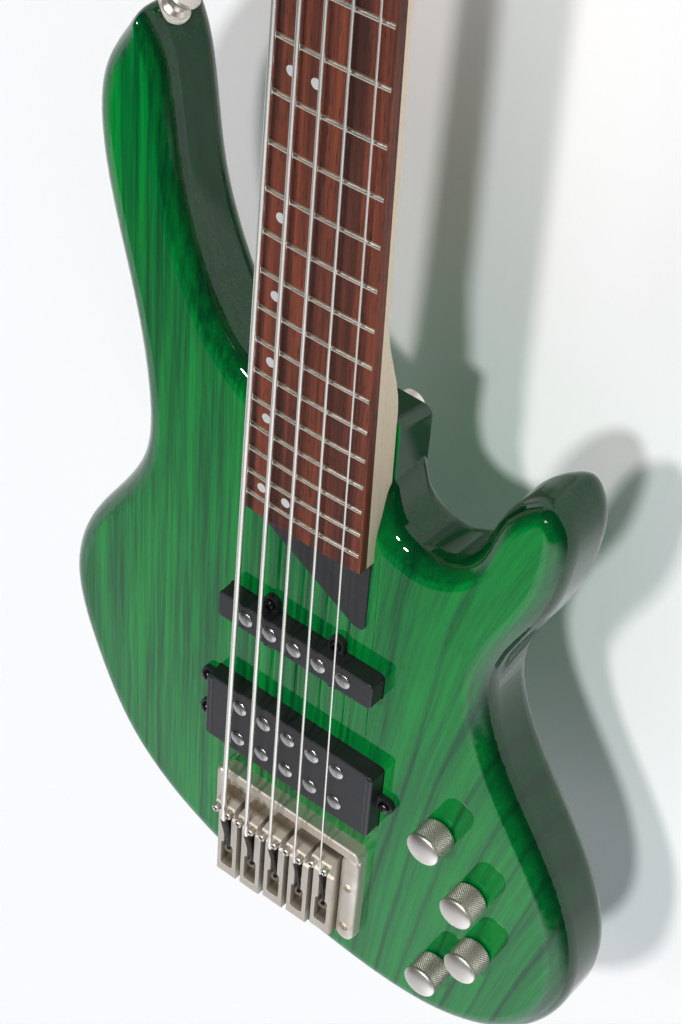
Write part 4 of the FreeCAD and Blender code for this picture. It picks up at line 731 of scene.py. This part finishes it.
def ball_end(centre):
    """Grooved ring at the end of a string, with its bore across."""
    half, rim, groove, bore, edge = 2.2, BALL_RADIUS - 0.2, BALL_RADIUS - 0.8, 1.3, 0.4
    ring = turned([(bore, half), (bore, -half), (rim - edge, -half), (rim, -half + edge),
                   (rim, -half * 0.5), (groove, -half * 0.3), (groove, half * 0.3),
                   (rim, half * 0.5), (rim, half - edge), (rim - edge, half), (bore, half)],
                  BALL_SEGMENTS)
    tilt = Vector(BALL_LEAN).to_track_quat("Z", "X").to_matrix().to_4x4()
    return moved(ring, Matrix.Translation(centre) @ tilt)


for index, letter in enumerate(STRING_NAMES):
    route = string_route(index)
    radius = STRING_DIAMETERS[index] / 2
    wire = tube(route[THREAD_POINTS:], radius, STRING_SIDES)
    wire = add_piece("wire_" + letter, "instrument", "string_steel", wire, TUBE_SMOOTH)
    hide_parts("string_" + letter)
    wrap = tube(route[:THREAD_POINTS + 1], radius + THREAD_SWELL, STRING_SIDES)
    add_piece("thread_" + letter, "instrument", "string_steel", wrap, TUBE_SMOOTH, silk)
    add_piece("ball_end_" + letter, "instrument", "string_steel", ball_end(route[0]), ROUND_SMOOTH,
              bronze)


# Height screws of the saddles, with black discs in their sockets as painted shade

SCREW_RADIUS = 2.1
SCREW_ASIDE = 4.1
SCREW_FROM_BREAK = 2.8
SCREW_PROUD = 3.6
SCREW_EDGE = 0.3
SCREW_SUNK = 0.3
SCREW_SEGMENTS = 36
STRING_SEAT = 0.12
SOCKET_MOUTH = 1.25
SOCKET_WALL = ((1.2, 0.12), (1.15, 2.0))
SOCKET_TIP = 2.2
# The next three size black hexagon discs just under the top of each socket: painted shade for the
# dark inside the hole.
SHADE_DISC_RADIUS = 1.12
SHADE_DISC_THICK = 0.2
SHADE_DISC_DOWN = 0.27


def socket_screw(low, high):
    """Headless screw about Z with a hexagon socket."""
    outside = [(0, low), (SCREW_RADIUS, low), (SCREW_RADIUS, high - SCREW_EDGE),
               (SCREW_RADIUS - SCREW_EDGE, high), (SOCKET_MOUTH, high)]
    inside = [(radius, high - down, hexagon) for radius, down in SOCKET_WALL]
    return turned(outside + inside + [(0, high - SOCKET_TIP)], SCREW_SEGMENTS)


for index, letter in enumerate(STRING_NAMES):
    low, high = box_of("saddle_" + letter)
    break_y = saddle_break(index)
    land = string_place(index, break_y).z - STRING_DIAMETERS[index] / 2 - STRING_SEAT
    screws, shade_discs = [], []
    for side in (-1, 1):
        at = ((low.x + high.x) / 2 + side * SCREW_ASIDE, break_y + SCREW_FROM_BREAK)
        screw = socket_screw(land - SCREW_SUNK, land + SCREW_PROUD)
        screws.append(moved(screw, Matrix.Translation((*at, 0))))
        # Black disc in the socket: painted shade, a dark sheet where the hole is in shade.
        socket = turned([(0, 0), (SHADE_DISC_RADIUS, 0, hexagon),
                         (SHADE_DISC_RADIUS, SHADE_DISC_THICK, hexagon), (0, SHADE_DISC_THICK)], SCREW_SEGMENTS)
        foot = land + SCREW_PROUD - SHADE_DISC_DOWN
        shade_discs.append(moved(socket, Matrix.Translation((*at, foot))))
    add_piece("height_screws_" + letter, "saddle_" + letter, "satin_nickel", joined(screws),
              SCREW_SMOOTH)
    # Black discs as painted shade in the sockets.
    add_piece("height_socket_shade_discs_" + letter, "saddle_" + letter, "dark_steel", joined(shade_discs),
              SCREW_SMOOTH, looks["black_plastic"])


# Domed pole pieces

DOME_SHARES = (0.97, 0.91, 0.84, 0.74, 0.6, 0.4, 0.2)
DOME_POWER = 3.4
DOME_RIM = ((0.0, 0.3), (0.06, 0.08))
DOME_SEGMENTS = 40
DOME_EDGE_DOWN = 0.35
DOME_PROUD = 0.6


def dome(radius, low, edge, high):
    """Upright round slug with a domed top."""
    rows = [(0, low), (radius, low)]
    rows += [(radius - inset, edge - down) for inset, down in DOME_RIM]
    for share in DOME_SHARES:
        rows.append((radius * share, edge + (high - edge) * (1 - share ** DOME_POWER)))
    return turned(rows + [(0, high)], DOME_SEGMENTS)


for kind in ("neck", "bridge"):
    node = kind + "_pickup_poles"
    slugs = []
    for low, high in solids_of(node):
        slug = dome((high.x - low.x) / 2, low.z, high.z - DOME_EDGE_DOWN, high.z + DOME_PROUD)
        slugs.append(centred(slug, low, high))
    slugs = add_piece(kind + "_pole_domes", "instrument", "pole_steel", joined(slugs), ROUND_SMOOTH)
    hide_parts(node)


# Screws with driven heads

HEAD_SEGMENTS = 64
PAN_SHANK = 0.46
PAN_HEIGHT = 0.7
PAN_SIDE = ((1.0, 0.0), (1.0, 0.3), (0.93, 0.5), (0.8, 0.62))
PAN_FLAT = 0.66
PAN_RECESS = ((0.6, 0.0), (0.5, 0.3), (0.26, 0.5))
PAN_TIP = 0.55
SUNK_SHANK = 0.48
SUNK_DEPTH = 1.1


def pan_head(low, high):
    """Pan-head screw in a box, with a cross recess in its top."""
    radius = (high.x - low.x) / 2
    shank = radius * PAN_SHANK
    top = high.z
    foot = top - radius * PAN_HEIGHT
    rows = [(0, low.z), (shank, low.z + shank), (shank, foot)]
    rows += [(radius * share, foot + radius * rise) for share, rise in PAN_SIDE]
    rows.append((radius * PAN_FLAT, top))
    rows += [(radius * share, top - radius * depth, cross) for share, depth in PAN_RECESS]
    rows.append((0, top - radius * PAN_TIP))
    return centred(turned(rows, HEAD_SEGMENTS), low, high)


def sunk_head(low, high):
    """Countersunk screw in a box, its head seated below the plate, with a cross recess."""
    radius = (high.x - low.x) / 2
    shank = radius * SUNK_SHANK
    top = high.z - SUNK_DEPTH
    rows = [(0, low.z), (shank, low.z + shank), (shank, top - radius * 0.6),
            (radius * 0.82, top - 0.35), (radius * 0.84, top), (radius * 0.56, top + 0.12),
            (radius * 0.52, top + 0.1, cross), (radius * 0.42, top - radius * 0.3, cross),
            (0, top - radius * 0.4)]
    return centred(turned(rows, HEAD_SEGMENTS), low, high)


screws = joined([pan_head(low, high) for low, high in solids_of("pickup_screws")])
screws = add_piece("pickup_pan_screws", "instrument", "dark_steel", screws, SCREW_SMOOTH)
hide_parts("pickup_screws")
screws = joined([sunk_head(low, high) for low, high in solids_of("bridge_screws")])
screws = add_piece("bridge_sunk_screws", "instrument", "dark_steel", screws, SCREW_SMOOTH, brass)
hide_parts("bridge_screws")


# Rounded rails of the bridge

PILL_BEND = 14
PILL_STRAIGHT = 12
PILL_INSETS = (0.03, 0.1, 0.2, 0.34, 0.5, 0.68, 0.86)
HOLE_RADIUS = 3.0
HOLE_HALF_SIDES = 12
HOLE_CLEAR = 0.25
RAIL_WIDTH = 10.8
RAIL_FRONT = 6.5
RAIL_FOOT, RAIL_SHOULDER, RAIL_TOP = 2.6, 2.1, 0.3
RAIL_ROUND = 4.0
EDGE_OUT, EDGE_IN = 4.0, 0.8
EDGE_BACK, EDGE_FRONT = 39.0, 3.5
EDGE_FOOT, EDGE_SHOULDER, EDGE_TOP = 0.02, 2.4, 0.4
EDGE_ROUND = 2.0


def pill_ring(x0, x1, y0, y1, inset):
    """Points of a bar with round ends, brought in from its outline."""
    half = (x1 - x0) / 2
    reach = half - inset
    middle = (x0 + x1) / 2
    points = []
    for centre, far, start in ((y0 + half, y1 - half, math.pi), (y1 - half, y0 + half, 0.0)):
        for step in range(PILL_BEND + 1):
            angle = start + math.pi * step / PILL_BEND
            points.append(Vector((middle + reach * math.cos(angle),
                                  centre + reach * math.sin(angle))))
        side_x = points[-1].x
        for step in range(1, PILL_STRAIGHT):
            share = step / PILL_STRAIGHT
            points.append(Vector((side_x, centre + (far - centre) * share)))
    return points


def hole_rim(hole):
    """Points round a hole."""
    angles = [math.pi * step / HOLE_HALF_SIDES for step in range(2 * HOLE_HALF_SIDES)]
    return [hole + Vector((math.cos(angle), math.sin(angle))) * HOLE_RADIUS for angle in angles]


def clear_of(point, holes, distance):
    """Whether a point is further than a distance from the middle of every hole."""
    return all((point - hole).length > distance for hole in holes)


def pill(x0, x1, y0, y1, foot, shoulder_level, high, shoulder, holes=()):
    """Bar with round ends, a rounded top and round holes down through it."""
    half = (x1 - x0) / 2
    holes = [Vector(hole) for hole in holes]
    flat, loops = [], []
    for loop in [pill_ring(x0, x1, y0, y1, 0.0)] + [hole_rim(hole) for hole in holes]:
        loops.append(range(len(flat), len(flat) + len(loop)))
        flat += loop
    for share in PILL_INSETS:
        flat += [point for point in pill_ring(x0, x1, y0, y1, half * share)
                 if clear_of(point, holes, HOLE_RADIUS + HOLE_CLEAR)]
    edges = [(loop[step], loop[(step + 1) % len(loop)])
             for loop in loops for step in range(len(loop))]
    spots, _, faces, origins, _, _ = delaunay_2d_cdt(flat, edges, [], 1, 1e-5)
    found = {source: index for index, sources in enumerate(origins) for source in sources}
    faces = [face for face in faces
             if clear_of(sum((spots[corner] for corner in face), Vector((0, 0))) / 3, holes,
                         HOLE_RADIUS * 0.99)]
    vertices = []
    for spot in spots:
        nearest = min(max(spot.y, y0 + half), y1 - half)
        inset = half - (spot - Vector(((x0 + x1) / 2, nearest))).length
        share = min(max(inset / shoulder, 0.0), 1.0)
        crown = math.sqrt(1 - (1 - share) ** 2)
        vertices.append(Vector((spot.x, spot.y, shoulder_level + (high - shoulder_level) * crown)))
    count = len(spots)
    vertices += [Vector((spot.x, spot.y, foot)) for spot in spots]
    under = [tuple(count + corner for corner in reversed(face)) for face in faces]
    walls = []
    for number, loop in enumerate(loops):
        for step in range(len(loop)):
            a, b = found[loop[step]], found[loop[(step + 1) % len(loop)]]
            walls.append((b, a, a + count, b + count) if number else (a, b, b + count, a + count))
    return vertices, faces + under + walls


places = [((low.x + high.x) / 2, (low.y + high.y) / 2) for low, high in solids_of("bridge_screws")]
low, high = box_of("bridge_base")
treble_rail = pill(high.x - RAIL_WIDTH, high.x, low.y, high.y - RAIL_FRONT, high.z - RAIL_FOOT,
                   high.z - RAIL_SHOULDER, high.z - RAIL_TOP, RAIL_ROUND, places)
bass_edge = pill(low.x - EDGE_OUT, low.x + EDGE_IN, high.y - EDGE_BACK, high.y - EDGE_FRONT,
                 low.z + EDGE_FOOT, high.z - EDGE_SHOULDER, high.z - EDGE_TOP, EDGE_ROUND)
rails = joined([treble_rail, bass_edge])
add_piece("bridge_rails", "instrument", "satin_nickel", rails, RAIL_SMOOTH, bridge_nickel)


# Raised end strips of the bridge pickup

BRIDGE_PICKUP_HALF = 105.0 / 2
NECK_PICKUP_HALF = 94.0 / 2
STRIP_INSET = 0.9
STRIP_WIDTH = 2.3
STRIP_SHORT = 1.6
STRIP_SUNK = 0.4
STRIP_PROUD = 0.3
STRIP_EDGE = 0.18


def strip(x0, x1, y0, y1, low, high):
    """Flat bar with bevelled top edges."""
    vertices, rings = [], []
    for inset, level in ((0, low), (0, high - STRIP_EDGE),
                         (STRIP_EDGE * 0.4, high - STRIP_EDGE * 0.3), (STRIP_EDGE, high)):
        rings.append(range(len(vertices), len(vertices) + 4))
        left, right, near, away = x0 + inset, x1 - inset, y0 + inset, y1 - inset
        vertices += [Vector((left, near, level)), Vector((right, near, level)),
                     Vector((right, away, level)), Vector((left, away, level))]
    return vertices, skinned(rings) + [tuple(rings[-1]), tuple(reversed(rings[0]))]


low, high = box_of("bridge_pickup_cover")
strips = []
for side in (-1, 1):
    ends = sorted(side * (BRIDGE_PICKUP_HALF - STRIP_INSET - width) for width in (0, STRIP_WIDTH))
    strips.append(strip(*ends, low.y + STRIP_SHORT, high.y - STRIP_SHORT, high.z - STRIP_SUNK,
                        high.z + STRIP_PROUD))
add_piece("pickup_end_strips", "instrument", "black_plastic", joined(strips), STRIP_SMOOTH)


# Polished edges of the pickup covers

BEAD_RADIUS = 0.45
BEAD_SIDES = 16
BEAD_OUT = 0.1
BEAD_SHARES = (-0.95, -0.5, 0.0, 0.5, 0.95)
BEAD_SHORT = 1.8
BEAD_DOWN = 0.05


def long_bead(high, half):
    """Bead along the neck-side edge of a pickup cover."""
    back = BEAD_RADIUS - BEAD_OUT
    points = [Vector((half * share, high.y - back, high.z - back)) for share in BEAD_SHARES]
    return tube(points, BEAD_RADIUS, BEAD_SIDES)


def strip_bead(low, high, x):
    """Bead along one edge of an end strip."""
    level = high.z - BEAD_RADIUS + BEAD_OUT + STRIP_PROUD - BEAD_DOWN
    length = high.y - low.y - 2 * BEAD_SHORT
    points = [Vector((x, low.y + BEAD_SHORT + length * step / 4, level)) for step in range(5)]
    return tube(points, BEAD_RADIUS, BEAD_SIDES)


low, high = box_of("bridge_pickup_cover")
beads = [long_bead(high, BRIDGE_PICKUP_HALF)]
for side in (-1, 1):
    for inset in (STRIP_INSET, STRIP_INSET + STRIP_WIDTH):
        beads.append(strip_bead(low, high, side * (BRIDGE_PICKUP_HALF - inset)))
beads.append(long_bead(box_of("neck_pickup_cover")[1], NECK_PICKUP_HALF))
add_piece("pickup_bright_edges", "instrument", "black_plastic", joined(beads), TUBE_SMOOTH,
          gloss)


# Softened edges on hard parts

BEVEL_ANGLE = 40.0
SOFT_WIDTHS = {"saddle_" + letter: 0.35 for letter in STRING_NAMES}
SOFT_WIDTHS.update({"bridge_base": 0.8, "bridge_pickup_cover": 0.35, "neck_pickup_cover": 0.35})

for name, width in SOFT_WIDTHS.items():
    bevel = nodes[name].modifiers.new("soft edges", "BEVEL")
    bevel.width = width * MM
    bevel.segments = 2
    bevel.limit_method = "ANGLE"
    bevel.angle_limit = math.radians(BEVEL_ANGLE)
    bevel.harden_normals = False


# Stage, lights and camera

BACKDROP_LEVEL = -0.075
BACKDROP_SIZE = 60.0
PAPER = (0.97, 0.98, 0.99, 1)
PAPER_GLOW = (0.93, 0.96, 1.0, 1)
PAPER_GLOW_SHARE = 0.02
ROOM_DIM = (0.045, 0.046, 0.05)
WALL_WHITE = (1.38, 1.44, 1.54)
WALL_TOP = (1.12, 0.55)
WALL_TOP_TILT = (-0.4, -0.05, 0.0, 0.55)
WALL_FOOT = (0.15, 0.4)
WALL_RIGHT_END = (0.98, 0.5)
WALL_LEFT_FADE = (-0.3, 0.1, 0.55, 1.0)
SEEN_WHITE = (0.95, 0.965, 0.98)
LAMP_STRENGTH = 1.36
LAMP_ANGLE = 5.5
LAMP_HIGH = (0.0, 0.6, 1.0)
LAMP_RIGHT = (0.31, 0.54, 1.0)
SOFT_LEFT = (-1.1, 0.1, 1.0)
SOFT_STRENGTH = 0.2
SOFT_ANGLE = 16.0
WARM = (1.0, 0.93, 0.93)
COOL = (0.95, 1.0, 0.99)
CAMERA_RIGHT = Vector((0.77848, 0.06058, -0.62474))
CAMERA_DOWN = Vector((0.46479, -0.72456, 0.5089))
CAMERA_FORWARD = Vector((-0.42183, -0.68654, -0.59221))
CAMERA_PLACE = Vector((0.45942, 0.94818, 0.66509))
CAMERA_LENS = 83.149
CAMERA_SENSOR = 36.0
CAMERA_NEAR = 0.02


def backdrop():
    """Pale backdrop behind the instrument that stays white for the camera and keeps the shadow."""
    bpy.ops.mesh.primitive_plane_add(size=BACKDROP_SIZE, location=(0, 0, BACKDROP_LEVEL))
    floor = bpy.context.object
    floor.name = "floor"
    material = bpy.data.materials.new("floor")
    material.use_nodes = True
    tree = material.node_tree
    tree.nodes.clear()
    output = tree.nodes.new("ShaderNodeOutputMaterial")
    paper = tree.nodes.new("ShaderNodeBsdfDiffuse")
    paper.inputs["Color"].default_value = PAPER
    glow = tree.nodes.new("ShaderNodeEmission")
    glow.inputs["Color"].default_value = PAPER_GLOW
    path = tree.nodes.new("ShaderNodeLightPath").outputs
    seen = math_node(tree, "MAXIMUM", path["Is Camera Ray"], path["Is Glossy Ray"])
    seen = math_node(tree, "MAXIMUM", seen, path["Is Transmission Ray"])
    mix = tree.nodes.new("ShaderNodeMixShader")
    tree.links.new(math_node(tree, "MULTIPLY", seen, PAPER_GLOW_SHARE), mix.inputs[0])
    tree.links.new(paper.outputs[0], mix.inputs[1])
    tree.links.new(glow.outputs[0], mix.inputs[2])
    tree.links.new(mix.outputs[0], output.inputs["Surface"])
    floor.data.materials.append(material)


def studio_world():
    """Room light: a broad white wall beyond the tail that fades upward, dim elsewhere."""
    world = bpy.data.worlds.new("studio")
    scene.world = world
    world.use_nodes = True
    tree = world.node_tree
    tree.nodes.clear()
    output = tree.nodes.new("ShaderNodeOutputWorld")
    background = tree.nodes.new("ShaderNodeBackground")
    x, y, z = coordinates(tree, tree.nodes.new("ShaderNodeTexCoord").outputs["Generated"])
    back = math_node(tree, "MULTIPLY", y, -1.0)
    slope = math_node(tree, "DIVIDE", z, math_node(tree, "MAXIMUM", back, 0.02))
    slope = math_node(tree, "SUBTRACT", slope, spread(tree, x, *WALL_TOP_TILT))
    glow = spread(tree, slope, *WALL_TOP)
    for place_along, fade in ((back, WALL_FOOT), (x, WALL_RIGHT_END), (x, WALL_LEFT_FADE)):
        glow = math_node(tree, "MULTIPLY", glow, spread(tree, place_along, *fade))
    room = ramp(tree, glow, [(0.0, ROOM_DIM), (1.0, WALL_WHITE)])
    seen = tree.nodes.new("ShaderNodeLightPath").outputs["Is Camera Ray"]
    dress(tree, background, {"Color": blend_colours(tree, seen, room, SEEN_WHITE), "Strength": 1.0})
    tree.links.new(background.outputs[0], output.inputs["Surface"])


def sun(name, toward, strength, spread_angle, colour=(1, 1, 1)):
    """Even light from one direction."""
    data = bpy.data.lights.new(name, "SUN")
    data.energy = strength
    data.angle = math.radians(spread_angle)
    data.color = colour
    lamp = bpy.data.objects.new(name, data)
    scene.collection.objects.link(lamp)
    lamp.rotation_euler = Vector(toward).to_track_quat("Z", "Y").to_euler()
    return lamp


def camera():
    """Camera above the neck that looks down along the body."""
    data = bpy.data.cameras.new("camera")
    data.sensor_width = CAMERA_SENSOR
    data.lens = CAMERA_LENS
    data.clip_start = CAMERA_NEAR
    eye = bpy.data.objects.new("camera", data)
    scene.collection.objects.link(eye)
    matrix = Matrix.Identity(4)
    for column, axis in enumerate((CAMERA_RIGHT, -CAMERA_DOWN, -CAMERA_FORWARD)):
        for row in range(3):
            matrix[row][column] = axis[row]
    matrix.translation = CAMERA_PLACE
    eye.matrix_world = matrix
    scene.camera = eye


backdrop()
studio_world()
sun("lamp_high", LAMP_HIGH, LAMP_STRENGTH, LAMP_ANGLE, WARM)
sun("lamp_right", LAMP_RIGHT, LAMP_STRENGTH, LAMP_ANGLE, COOL)
sun("soft_left", SOFT_LEFT, SOFT_STRENGTH, SOFT_ANGLE).visible_glossy = False
camera()

scene.view_settings.view_transform = "Standard"
